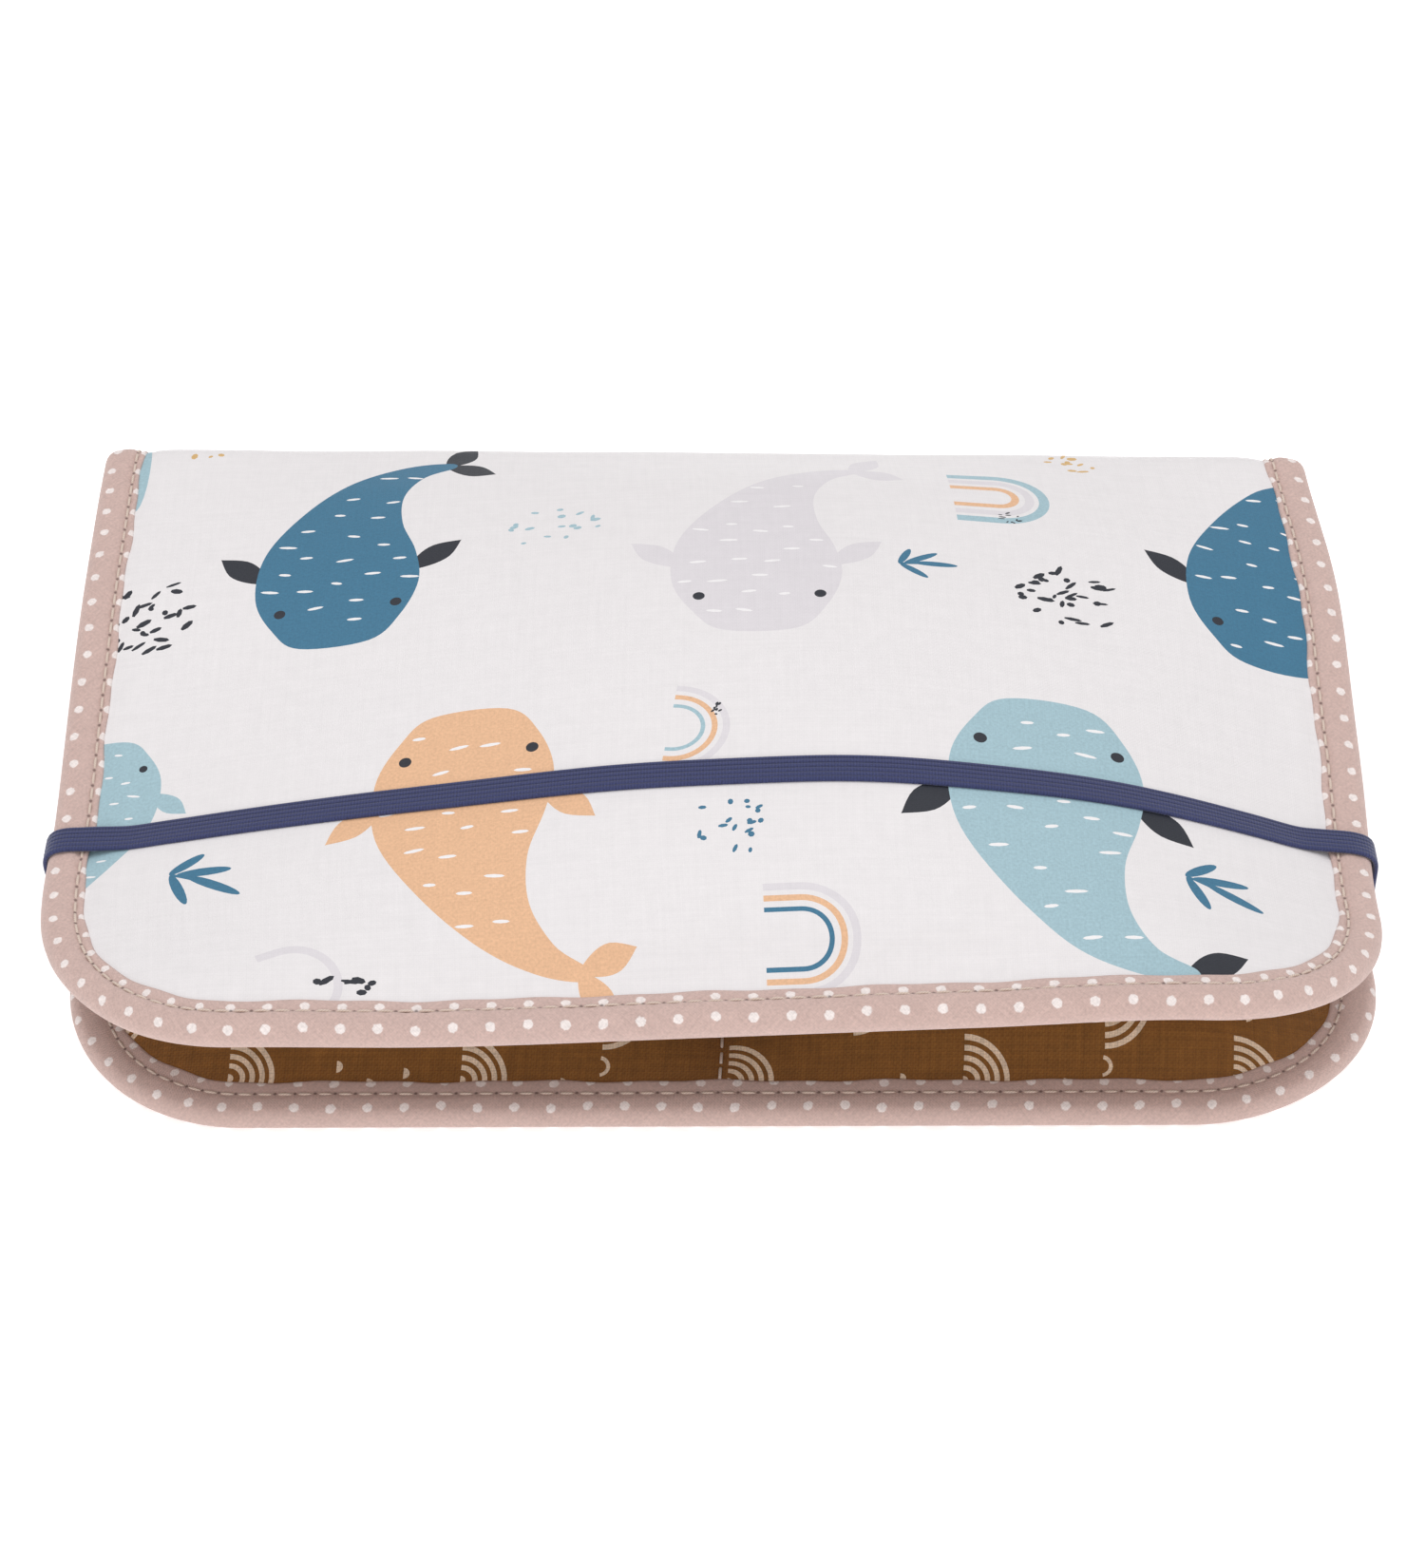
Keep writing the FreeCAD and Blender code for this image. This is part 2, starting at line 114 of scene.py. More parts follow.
def smooth_curve(points):
    """A function that passes through given (x, y) points without corners."""
    xs, ys = np.array(points, float).T
    slopes = np.gradient(ys, xs)

    def value(x):
        x = np.clip(np.asarray(x, float), xs[0], xs[-1])
        i = np.clip(np.searchsorted(xs, x) - 1, 0, len(xs) - 2)
        width = xs[i + 1] - xs[i]
        t = (x - xs[i]) / width
        return (
            (2 * t**3 - 3 * t**2 + 1) * ys[i]
            + (t**3 - 2 * t**2 + t) * width * slopes[i]
            + (3 * t**2 - 2 * t**3) * ys[i + 1]
            + (t**3 - t**2) * width * slopes[i + 1]
        )

    return value


def ease(x):
    """0 below 0, 1 above 1, and smooth between."""
    x = np.clip(x, 0, 1)
    return x * x * (3 - 2 * x)


def unit(vectors):
    return vectors / np.linalg.norm(vectors, axis=-1, keepdims=True)


def heading(line):
    """The direction of a line of points at each of them."""
    return unit(np.gradient(line, axis=0))


# The height of the cover's bound edge, from the photograph: along the left side, the right side,
# the front and the fold. The elastic pulls the sides down and the front springs up.
left_edge = smooth_curve([(-80, 25.5), (-50, 22), (-28, 21.5), (0, 25), (38, 31), (60, 31.7), (75, 31.7)])
right_edge = smooth_curve([(-80, 31), (-50, 22.5), (-28, 20.3), (0, 22.6), (38, 28), (60, 29), (75, 29.1)])
front_edge = smooth_curve(
    [(-120, 25.5), (-85, 27.8), (-45, 28.1), (0, 30.6), (45, 33.2), (85, 35.2), (120, 31)]
)
fold_edge = smooth_curve([(-120, 31.7), (0, 30.4), (120, 29.1)])
# How far the stuffed middle of the cover stands above that, from the front to the fold.
crown_height = smooth_curve(
    [(-72.2, 0), (-66, 3.6), (-60, 6.7), (-50, 11.2), (-40, 14.5), (-28, 16.9), (-10, 17.5)]
    + [(10, 16.4), (30, 12.9), (50, 8.8), (60, 6.1), (68, 3.0), (74.5, 0.3)]
)
CROWN_MIDDLE = 18.0  # the highest line of the cover lies right of the centre
CROWN_EDGE = 113.0
CROWN_RISE = 14  # it starts at the tape and is at its full height this far inside it
# The whole clutch leans a little: its middle line, and its width, from the cover's front round
# the fold to the front of the base.
middle_line = smooth_curve(
    [(0, 1.9), (12, 1.7), (25, 1.1), (40, 0.3), (60, 0.6), (90, 0.5), (120, 0.3), (155, -1.2)]
    + [(190, -1.2), (300, 2.4), (330, 2.6), (345, 1.5)]
)
width_share = smooth_curve(
    [(0, 0.965), (12, 0.968), (25, 0.978), (40, 0.987), (60, 0.993), (90, 1), (120, 1.003)]
    + [(155, 0.998), (190, 0.996), (300, 0.975), (330, 0.973), (345, 0.964)]
)
BASE_SKEW = 0.6  # the base's right front corner lies this far back, and its left one forward


def edge_height(x, y):
    """Height of the cover's face if it only joined its four edges, a Coons patch."""
    u = (x + HALF_WIDTH) / (2 * HALF_WIDTH)
    v = (y - COVER_FRONT) / COVER_RUN
    sides = (1 - u) * left_edge(y) + u * right_edge(y)
    ends = (1 - v) * front_edge(x) + v * fold_edge(x)
    corners = (1 - v) * ((1 - u) * left_edge(COVER_FRONT) + u * right_edge(COVER_FRONT))
    corners = corners + v * ((1 - u) * left_edge(FOLD_Y) + u * right_edge(FOLD_Y))
    return sides + ends - corners


def skin(x, s):
    """Points and outward directions on the outer face of the tape's level.
    x is across the cloth, and s runs from the cover's front, round the fold, to the base's."""
    x, s = np.broadcast_arrays(np.asarray(x, float), np.asarray(s, float))
    x = x * width_share(s) + middle_line(s)
    y = COVER_FRONT + s
    high = fold_edge(x) - EDGE
    turn = np.clip((s - COVER_RUN) / BEND_RUN, 0, 1) * pi / 2
    low_turn = np.clip((s - BASE_START + BEND_RUN) / BEND_RUN, 0, 1) * pi / 2
    down = np.clip((s - SPINE_START) / SPINE_RUN, 0, 1)
    back = np.sin(turn) * np.cos(low_turn)
    z = high + EDGE * np.cos(turn) - (high - LOW_HINGE) * down - LOW_HINGE * np.sin(low_turn)
    point = np.stack([x, FOLD_Y + EDGE * back, z], -1)
    normal = np.stack([0 * x, back, np.cos(turn) - np.sin(low_turn)], -1)
    under = s > BASE_START
    askew = BASE_SKEW * x / HALF_WIDTH * (s - BASE_START) / BASE_RUN
    point[under, 1] = (FOLD_Y - (s - BASE_START) + askew)[under]
    point[under, 2] = 0
    over = s < COVER_RUN
    step = 0.5
    xo, yo = x[over], y[over]
    height = edge_height(xo, yo)
    point[over, 1] = yo
    point[over, 2] = height
    normal[over, 0] = (height - edge_height(xo + step, yo)) / step
    normal[over, 1] = (height - edge_height(xo, yo + step)) / step
    normal[over, 2] = 1
    return point, unit(normal)


def inset(x, s):
    """How far a place on the cloth is inside its cut edge, a rectangle with round corners."""
    across = np.abs(x) - (HALF_WIDTH - CORNER)
    along = np.abs(np.asarray(s, float) - FABRIC_RUN / 2) - (FABRIC_RUN / 2 - CORNER)
    outside = np.hypot(np.maximum(across, 0), np.maximum(along, 0))
    return CORNER - outside - np.minimum(np.maximum(across, along), 0)


WAVE_COUNT = 6


def waves(a, b, seed, length):
    """Soft seeded noise between -1 and 1, from waves about the given length."""
    rng = random.Random(seed)
    total = 0
    for _ in range(WAVE_COUNT):
        aim = rng.uniform(0, tau)
        pace = tau / (length * rng.uniform(0.7, 1.6))
        start = rng.uniform(0, tau)
        total = total + np.sin((a * cos(aim) + b * sin(aim)) * pace + start)
    return total / WAVE_COUNT


def crown(x, s):
    """How far the stuffed cover stands above the surface that joins its edges."""
    y = COVER_FRONT + np.asarray(s, float)
    side = np.where(x > CROWN_MIDDLE, CROWN_EDGE - CROWN_MIDDLE, CROWN_EDGE + CROWN_MIDDLE)
    across = np.clip(1 - ((x - CROWN_MIDDLE) / side) ** 2, 0, 1) ** 1.5
    from_tape = np.clip((inset(x, s) - TAPE_WIDTH) / CROWN_RISE, 0, 1)
    rise = 1 - (1 - from_tape) ** 2
    return np.where(y < FOLD_Y, crown_height(y) * across * rise, 0)


PUFF = 0.9  # how far the wadding lifts the cloth beside its tape
PUFF_REACH = 6  # the strip beside the tape over which it does
GATHER, GATHER_LENGTH = 0.3, 10  # height and length of the small gathers along the tape
SLACK, SLACK_LENGTH = 0.3, 46  # and of the wide waves inside them
PRESSED = 0.15  # the share of all this that is left on the base


def puff(x, s):
    """How far the wadding lifts the cloth just inside its tape, with soft gathers."""
    inside_edge = inset(x, s)
    from_tape = np.clip((inside_edge - TAPE_WIDTH + 0.4) / PUFF_REACH, 0, 1)
    lift = PUFF * (1 - (1 - from_tape) ** 2)
    gathers = GATHER * waves(x, s, 3, GATHER_LENGTH) * np.clip((17 - inside_edge) / 9, 0, 1) * from_tape
    slack = SLACK * waves(x, s, 8, SLACK_LENGTH) * np.clip((inside_edge - 9) / 20, 0, 1)
    flat = np.where(np.asarray(s) > BASE_START - BEND_RUN / 2, PRESSED, 1)
    return (lift + gathers + slack) * flat


BAND_Y = (band_low[1] + band_high[1]) / 2
BAND_WIDTH = 5.8
BAND_THICK = 0.8
BAND_RIBS = 6
BAND_STEP = 0.8  # from one modelled section to the next
BAND_DRIFT, BAND_DRIFT_LENGTH = 0.35, 37  # it wanders a little from side to side
BAND_CLEAR = 0.32  # between the elastic and the tape's level, so that it lies on the tape's swell
BAND_SIDE_CLEAR = 0.4 * BAND_CLEAR
BAND_FOOT = 1.2  # height of its sewn ends
BAND_DENT = 0.45


def band_dent(s):
    """The groove that the elastic presses into the cover."""
    y = COVER_FRONT + np.asarray(s, float)
    return BAND_DENT * np.exp(-(((y - BAND_Y) / (0.62 * BAND_WIDTH)) ** 2)) * (y < FOLD_Y)


def outer_face(x, s):
    """Points on the printed outer cloth."""
    point, normal = skin(x, s)
    point = point + (puff(x, s) - CLOTH_DEPTH - band_dent(s))[..., None] * normal
    point[..., 2] += crown(x, s)
    return point


LINING_CROWN = 0.35  # the share of the crown that the lining follows


def lining_face(x, s):
    """Points on the lining, on the inner side of the panels."""
    point, normal = skin(x, s)
    level = tape_thickness(s) - CLOTH_DEPTH
    bends = (s > COVER_RUN - 0.01) & (s < BASE_START + 0.01)
    depth = level - np.where(bends, 0.1, 0.5 * puff(x, s))
    point = point - depth[..., None] * normal
    point[..., 2] += LINING_CROWN * crown(x, s)
    return point


def make_object(name, points, faces, uv=None, materials=(), indices=None, shade=True):
    """A mesh object from points in millimetres. uv gives a place in millimetres for each point."""
    mesh = bpy.data.meshes.new(name)
    mesh.from_pydata((np.asarray(points, float).reshape(-1, 3) * MM).tolist(), [], faces)
    for material in materials:
        mesh.materials.append(material)
    if indices is not None:
        mesh.polygons.foreach_set("material_index", indices)
    mesh.polygons.foreach_set("use_smooth", [shade] * len(mesh.polygons))
    if uv is not None:
        add_uv(mesh, "flat_cloth", np.asarray(uv, float) / UV_UNIT)
    mesh.validate()
    mesh.update()
    thing = bpy.data.objects.new(name, mesh)
    bpy.context.scene.collection.objects.link(thing)
    return thing


def add_uv(mesh, name, places):
    """A UV layer from one place for each point of the mesh."""
    corners = np.empty(len(mesh.loops), np.int32)
    mesh.loops.foreach_get("vertex_index", corners)
    layer = mesh.uv_layers.new(name=name)
    layer.data.foreach_set("uv", places[corners].ravel())


def grid_faces(rows, columns, close_columns=False, first=0):
    """Quads between the points of a grid that is stored row by row."""
    last = columns if close_columns else columns - 1
    return [
        (
            first + r * columns + c,
            first + r * columns + (c + 1) % columns,
            first + (r + 1) * columns + (c + 1) % columns,
            first + (r + 1) * columns + c,
        )
        for r in range(rows - 1)
        for c in range(last)
    ]


# ---- materials


NOISE_RANGE = (0.3, 0.7)  # where nearly all values of a noise texture are


class Nodes:
    """A new material's shader nodes, with short ways to add and join them."""

    def __init__(self, name):
        self.material = bpy.data.materials.new(name)
        self.material.use_nodes = True
        self.tree = self.material.node_tree
        self.shader = self.tree.nodes["Principled BSDF"]

    def add(self, kind, settings=None, **inputs):
        node = self.tree.nodes.new("ShaderNode" + kind)
        for key, value in (settings or {}).items():
            setattr(node, key, value)
        for key, value in inputs.items():
            self.join(value, node.inputs[key.replace("_", " ")])
        return node

    def join(self, value, socket):
        if isinstance(value, bpy.types.NodeSocket):
            self.tree.links.new(value, socket)
        else:
            socket.default_value = value

    def finish(self, sockets):
        """The material, once the shader's own sockets are set or joined."""
        for socket, value in sockets.items():
            self.join(value, self.shader.inputs[socket])
        return self.material

    def math(self, operation, *values):
        node = self.add("Math", {"operation": operation})
        for value, socket in zip(values, node.inputs):
            self.join(value, socket)
        return node.outputs[0]

    def times(self, first, second):
        return self.math("MULTIPLY", first, second)

    def plus(self, first, second):
        return self.math("ADD", first, second)

    def minus(self, first, second):
        return self.math("SUBTRACT", first, second)

    def ridges(self, angle):
        """The size of an angle's sine: rounded ridges from 0 to 1."""
        return self.math("ABSOLUTE", self.math("SINE", angle))

    def length(self, first, second):
        return self.math("SQRT", self.plus(self.times(first, first), self.times(second, second)))

    def centred(self, count, pitch):
        """How far a place, counted in pitches, is from the middle of its own pitch."""
        return self.times(self.minus(self.math("FRACT", count), 0.5), pitch)

    def mix(self, factor, first, second, blend="MIX"):
        settings = {"data_type": "RGBA", "blend_type": blend}
        return self.add("Mix", settings, Factor=factor, A=first, B=second).outputs["Result"]

    def ramp(self, value, low, high, start, end):
        """Scales value from low..high to start..end, and holds it there outside."""
        limits = {"From_Min": low, "From_Max": high, "To_Min": start, "To_Max": end}
        return self.add("MapRange", Value=value, **limits).outputs[0]

    def vary(self, noise, share):
        """A factor about 1 that follows a noise, up and down by a share."""
        return self.ramp(noise, *NOISE_RANGE, 1 - share, 1 + share)

    def noise(self, place, scale, detail, **more):
        return self.add("TexNoise", Vector=place, Scale=scale, Detail=detail, **more).outputs[0]

    def grey(self, shade):
        return self.add("CombineColor", Red=shade, Green=shade, Blue=shade).outputs[0]

    def tinted(self, colour, shade):
        """A colour, times a shade."""
        return self.mix(1.0, linear(colour), self.grey(shade), "MULTIPLY")

    def cloth_place(self):
        """The place on the flat cloth, in millimetres, along x and along y."""
        uv = self.add("TexCoord").outputs["UV"]
        scaled = self.add("VectorMath", {"operation": "SCALE"}, Vector=uv, Scale=UV_UNIT)
        parts = self.add("SeparateXYZ", Vector=scaled.outputs[0])
        return parts.outputs[0], parts.outputs[1]

    def spot(self, x, y):
        return self.add("CombineXYZ", X=x, Y=y).outputs[0]


def linear(code):
    """A colour written as six hex digits, as scene-linear RGBA."""
    parts = [int(code[i : i + 2], 16) / 255 for i in (0, 2, 4)]
    parts = [p / 12.92 if p < 0.04045 else ((p + 0.055) / 1.055) ** 2.4 for p in parts]
    return (*parts, 1.0)


def weave(nodes, x, y, pitch):
    """Plain weave: height from 0 to 1 where warp and weft threads pass over each other."""
    across = nodes.times(x, 1 / pitch)
    along = nodes.times(y, 1 / pitch)
    warp = nodes.ridges(nodes.times(across, pi))
    weft = nodes.ridges(nodes.times(along, pi))
    cells = nodes.plus(nodes.math("FLOOR", across), nodes.math("FLOOR", along))
    odd = nodes.math("MODULO", nodes.math("ABSOLUTE", cells), 2.0)
    return nodes.plus(nodes.times(warp, odd), nodes.times(weft, nodes.minus(1.0, odd)))


SLUB_PACE = 0.06  # how slowly a thread's thickness changes along it
SLUB_WIDTH = 1.6  # in threads
SLUB_HEIGHT = 1.2  # to the weave's height of 1


def slubs(nodes, x, y, pitch):
    """Thick and thin threads both ways: noise drawn out along each of them."""
    long_way = nodes.spot(nodes.times(x, 1 / pitch), nodes.times(y, SLUB_PACE))
    cross_way = nodes.spot(nodes.times(x, SLUB_PACE), nodes.times(y, 1 / pitch))
    one, two = (nodes.noise(way, 1.0, 2.0) for way in (long_way, cross_way))
    return nodes.times(nodes.plus(one, two), 0.5)


def woven(name, colour, pitch, weave_shade, mottle, fleck, bump, diagonal=False):
    """A woven cotton: its threads, slubs, clouds and fibres, on the flat cloth's own coordinates, with
    painted shade between the threads.
    """
    nodes = Nodes(name)
    x, y = nodes.cloth_place()
    if diagonal:
        x, y = (nodes.times(way, sqrt(0.5)) for way in (nodes.plus(x, y), nodes.minus(y, x)))
    place = nodes.spot(x, y)
    threads = weave(nodes, x, y, pitch)
    uneven = slubs(nodes, x, y, pitch * SLUB_WIDTH)
    clouds = nodes.noise(place, 0.35, 4.0)
    fibres = nodes.noise(place, 1.9, 3.0)
    # Painted shade of the weave: the colour darkens between the threads and along their thin stretches. The
    # clouds and fibres are the cloth's own uneven tone.
    nodes.shade = nodes.ramp(threads, 0.0, 1.0, 1 - weave_shade, 1.0)
    for noise, share in ((uneven, weave_shade), (clouds, mottle), (fibres, fleck)):
        nodes.shade = nodes.times(nodes.shade, nodes.vary(noise, share))
    nodes.base = nodes.tinted(colour, nodes.shade)
    nodes.height = nodes.plus(threads, nodes.times(uneven, SLUB_HEIGHT))
    nodes.bump = bump
    return nodes


def finish_cloth(nodes, rough, sheen, distance, coat=0.0):
    """Joins the colour and the bump to the shader, and sets the cloth's gloss."""
    bump = nodes.add("Bump", Height=nodes.height, Strength=nodes.bump, Distance=distance * MM)
    sockets = {
        "Base Color": nodes.base,
        "Normal": bump.outputs[0],
        "Roughness": nodes.ramp(nodes.height, 0.0, 2.0, rough + 0.08, rough - 0.08),
        "Sheen Weight": sheen,
        "Sheen Roughness": 0.5,
        "Coat Weight": coat,
        "Coat Roughness": 0.35,
        "Specular IOR Level": 0.3,
    }
    return nodes.finish(sockets)


def coated_ink(name, colour, fleck):
    """The printed, film-coated cotton of the outside, in one of its inks."""
    nodes = woven("coated_" + name, colour, 0.4, 0.025, 0.015, fleck, 0.3)
    return finish_cloth(nodes, rough=0.55, sheen=0.05, distance=0.05, coat=0.12)


def lining_ink(name, colour):
    """The printed cotton of the inside, in one of its inks."""
    nodes = woven("lining_" + name, colour, 0.5, 0.2, 0.07, 0.1, 0.7)
    return finish_cloth(nodes, rough=0.85, sheen=0.15, distance=0.08)


DOT_PITCH = 6.56
DOT_ROW = 5.6
DOT_RADIUS = 0.88
DOT_RAG = 0.12  # how ragged a dot's edge is
DOT_START = 1.2  # slides the rows of dots across the tape
COVER_SLIDE = 2.0  # and how much further out they lie along the cover's front
BASE_SLIDE = 1.3  # and along the base's


def tape_cloth():
    """Dusty pink bias tape with white dots, with painted shade in its seam's groove and needle holes. x is
    along the tape and y is across it.
    """
    nodes = woven("dotted_tape", "ccb0a8", 0.4, 0.06, 0.03, 0.1, 0.6, diagonal=True)
    along, across = nodes.cloth_place()
    dx = nodes.centred(nodes.math("DIVIDE", along, DOT_PITCH), DOT_PITCH)
    dy = nodes.centred(nodes.math("DIVIDE", across, DOT_ROW), DOT_ROW)
    ragged = nodes.noise(nodes.spot(along, across), 1.6, 2.0)
    away = nodes.plus(nodes.length(dx, dy), nodes.ramp(ragged, *NOISE_RANGE, -DOT_RAG, DOT_RAG))
    dot = nodes.ramp(away, DOT_RADIUS - 0.1, DOT_RADIUS + 0.1, 0.92, 0.0)
    holes, groove = painted_seam_shade(nodes)
    nodes.base = nodes.mix(dot, nodes.base, nodes.tinted("f3e9e6", nodes.shade))
    # Painted shade: the seam's groove and the needle holes are darkened in the tape's colour.
    nodes.base = nodes.mix(groove, nodes.base, linear("8d6f64"))
    nodes.base = nodes.mix(holes, nodes.base, linear("4a352e"))
    return finish_cloth(nodes, rough=0.85, sheen=0.2, distance=0.07)


def painted_seam_shade(nodes):
    """Painted shade on the tape: how dark the needle's holes, and the line that the thread is pulled into,
    are painted, for the shade that falls into them.
    """
    place = nodes.add("UVMap", {"uv_map": "seam_place"}).outputs[0]
    parts = nodes.add("SeparateXYZ", Vector=place)
    to_hole = nodes.centred(parts.outputs[0], STITCH_PITCH)
    off_line = nodes.math("ABSOLUTE", parts.outputs[1])
    away = nodes.length(to_hole, off_line)
    return nodes.ramp(away, 0.18, 0.42, 0.7, 0.0), nodes.ramp(off_line, 0.2, 0.75, 0.18, 0.0)


KNIT_PITCH = 0.55
RIB_PITCH = 1.03


def elastic_cloth():
    """Navy braided elastic: fine crosswise knit between its lengthwise ribs. Its colour is darkened between
    the ribs and the knit's rows as painted shade.
    """
    nodes = Nodes("navy_elastic")
    along, across = nodes.cloth_place()
    knit = nodes.ridges(nodes.times(along, pi / KNIT_PITCH))
    ribs = nodes.ridges(nodes.times(across, pi / RIB_PITCH))
    fuzz = nodes.noise(nodes.spot(along, across), 3.0, 3.0)
    # Painted shade in the grooves between the ribs and between the knit's rows, with a faint painted
    # highlight on the rows.
    shade = nodes.times(nodes.ramp(knit, 0.0, 1.0, 0.8, 1.1), nodes.ramp(ribs, 0.0, 0.7, 0.6, 1.0))
    nodes.base = nodes.tinted("343a63", nodes.times(shade, nodes.vary(fuzz, 0.2)))
    nodes.height = nodes.plus(nodes.times(knit, 0.6), fuzz)
    nodes.bump = 0.6
    return finish_cloth(nodes, rough=0.75, sheen=0.3, distance=0.12)


def sewing_thread(name, colour):
    """Twisted sewing thread: slanting plies along each stitch, with painted shade between them."""
    nodes = Nodes(name)
    along, around = nodes.cloth_place()
    nodes.height = nodes.ridges(nodes.plus(nodes.times(along, 9.0), nodes.times(around, 7.0)))
    # Painted shade between the plies and a faint painted highlight on them: the colour follows the plies'
    # height.
    nodes.base = nodes.tinted(colour, nodes.ramp(nodes.height, 0.0, 1.0, 0.72, 1.05))
    nodes.bump = 0.7
    return finish_cloth(nodes, rough=0.5, sheen=0.2, distance=0.05)


def wadding_felt():
    """White needled polyester wadding: matted fibres."""
    nodes = Nodes("white_wadding")
    place = nodes.add("TexCoord").outputs["Object"]
    nodes.height = nodes.noise(place, 900.0, 6.0, Distortion=2.0)
    nodes.base = nodes.tinted("f2f0ea", nodes.ramp(nodes.height, *NOISE_RANGE, 0.85, 1.0))
    nodes.bump = 0.8
    return finish_cloth(nodes, rough=0.95, sheen=0.4, distance=0.4)


OUTER_INKS = ["ground", "teal", "sky", "peach", "mist", "night", "chalk", "ochre"]
OUTER_COLOURS = ["e5e1e2", "39718f", "9fbcc6", "e2b48e", "dad5d9", "22252f", "eeebec", "d3ad74"]
LINING_INKS = ["ground", "cream"]
LINING_COLOURS = ["90602b", "f6dec4"]


# ---- printed motifs

# A motif is a list of (ink, outline), in millimetres of cloth. Later outlines lie on top.


def rounded(points, steps=7):
    """A closed smooth outline through a few points, a Catmull-Rom loop."""
    corners = [np.array(p, float) for p in points]
    outline = []
    for i, start in enumerate(corners):
        before, end, after = (corners[(i + k) % len(corners)] for k in (-1, 1, 2))
        for t in (k / steps for k in range(steps)):
            bend = (2 * before - 5 * start + 4 * end - after) * t**2
            swing = (3 * start - before - 3 * end + after) * t**3
            outline.append(0.5 * (2 * start + (end - before) * t + bend + swing))
    return outline


def turned(shape, x, y, turn):
    """A shape turned about its origin, which then goes to (x, y)."""
    c, s = cos(turn), sin(turn)
    return [(x + u * c - v * s, y + u * s + v * c) for u, v in shape]


def oval(x, y, half_length, half_width, turn=0.0, steps=18):
    """An oval outline, its long axis turned from the x axis."""
    angles = [tau * k / steps for k in range(steps)]
    return turned([(half_length * cos(a), half_width * sin(a)) for a in angles], x, y, turn)


def leaf(x, y, length, width, turn):
    """A pointed leaf from its foot at (x, y)."""
    side = [(0.3, 0.42), (0.65, 0.5), (1.0, 0.06)]
    shape = rounded([(0, 0)] + side + [(u, -v) for u, v in side[::-1]], 4)
    return turned([(u * length, v * width) for u, v in shape], x, y, turn)


def stroke(points, width):
    """A line of even width along an open smooth curve."""
    path = np.array(points, float)
    t = np.linspace(0, len(path) - 1, 6 * len(path))
    index = np.arange(len(path))
    line = np.stack([smooth_curve(list(zip(index, path[:, k])))(t) for k in (0, 1)], -1)
    ahead = heading(line)
    side = np.stack([-ahead[:, 1], ahead[:, 0]], -1) * width / 2
    side *= np.clip(np.minimum(t, t[::-1]) * 4, 0.25, 1)[:, None]
    return list(line + side) + list((line - side)[::-1])


def arc(radius, half_turn=90, steps=22):
    """Points round part of a circle about the origin, the same way up and down from the x axis."""
    angles = [radians(-half_turn + 2 * half_turn * k / steps) for k in range(steps + 1)]
    return [(radius * cos(a), radius * sin(a)) for a in angles]


def arch(radius, width, half_turn=90, steps=22, leg=0.0):
    """Part of a ring, the outline of one rainbow stripe, with straight legs out to the left."""
    sides = []
    for reach in (radius + width / 2, radius - width / 2):
        side = [(leg + u, v) for u, v in arc(reach, half_turn, steps)]
        if leg:
            side = [(0, side[0][1])] + side + [(0, side[-1][1])]
        sides.append(side)
    return sides[0] + sides[1][::-1]


def half_disc(radius):
    return [(0, 0)] + arc(radius, steps=14)


def tapered(line, half_widths):
    """A closed smooth outline about a centre line, with a half width at each of its points."""
    path = np.array(line, float)
    ahead = heading(path)
    side = np.stack([-ahead[:, 1], ahead[:, 0]], -1) * np.array(half_widths)[:, None]
    return [tuple(p) for p in rounded(list(path + side) + list((path - side)[::-1]))]


WHALE_MARKS = 22
MARK_TRIES = 400
MARK_GAP = 5


def whale(ink, fins, seed):
    """A plain whale seen from above, about 60 mm long: a teardrop body, head down, whose tail
    bends to the right, with two flippers, two flukes and an eye on each side."""
    line = [(-2, 0.5), (-2, 6), (-2.5, 15), (-2.5, 26), (-0.5, 37), (4, 47), (11, 54), (18, 57)]
    body = tapered(line, (6.5, 12, 15.5, 14.5, 10, 6, 3, 1.2))
    limbs = [leaf(17, 56.5, 10, 5, radians(turn)) for turn in (58, -22)]
    limbs += [leaf(x, 19, 12, 5, radians(turn)) for x, turn in ((-16, 140), (11, 40))]
    eyes = [(-13, 10), (9, 10)]
    shapes = [(fins, limb) for limb in limbs] + [(ink, body)]
    shapes += [("night", oval(*eye, 1.1, 1.1)) for eye in eyes]
    rng = random.Random(seed)
    taken = list(eyes)
    for _ in range(MARK_TRIES):
        x, y = rng.uniform(-16, 14), rng.uniform(4, 52)
        clear = all((x - a) ** 2 + (y - b) ** 2 > MARK_GAP**2 for a, b in taken)
        if clear and well_inside(body, x, y, 1.8):
            taken.append((x, y))
            mark = oval(x, y, rng.uniform(1.1, 2.0), 0.36, rng.uniform(-0.25, 0.12), 8)
            shapes.append(("chalk", mark))
        if len(taken) == len(eyes) + WHALE_MARKS:
            break
    return shapes


def well_inside(outline, x, y, margin):
    """Whether a small cross about a place lies inside an outline."""
    return all(
        crossings(outline, x + dx, y + dy) % 2
        for dx, dy in ((margin, 0), (-margin, 0), (0, margin), (0, -margin))
    )


def crossings(outline, x, y):
    """How many edges of an outline a ray to the right of (x, y) crosses."""
    return sum(
        (ay > y) != (by > y) and x < ax + (y - ay) * (bx - ax) / (by - ay)
        for (ax, ay), (bx, by) in edges_of(outline)
    )


def edges_of(outline):
    """Each corner of an outline with the next."""
    return zip(outline, outline[1:] + outline[:1])


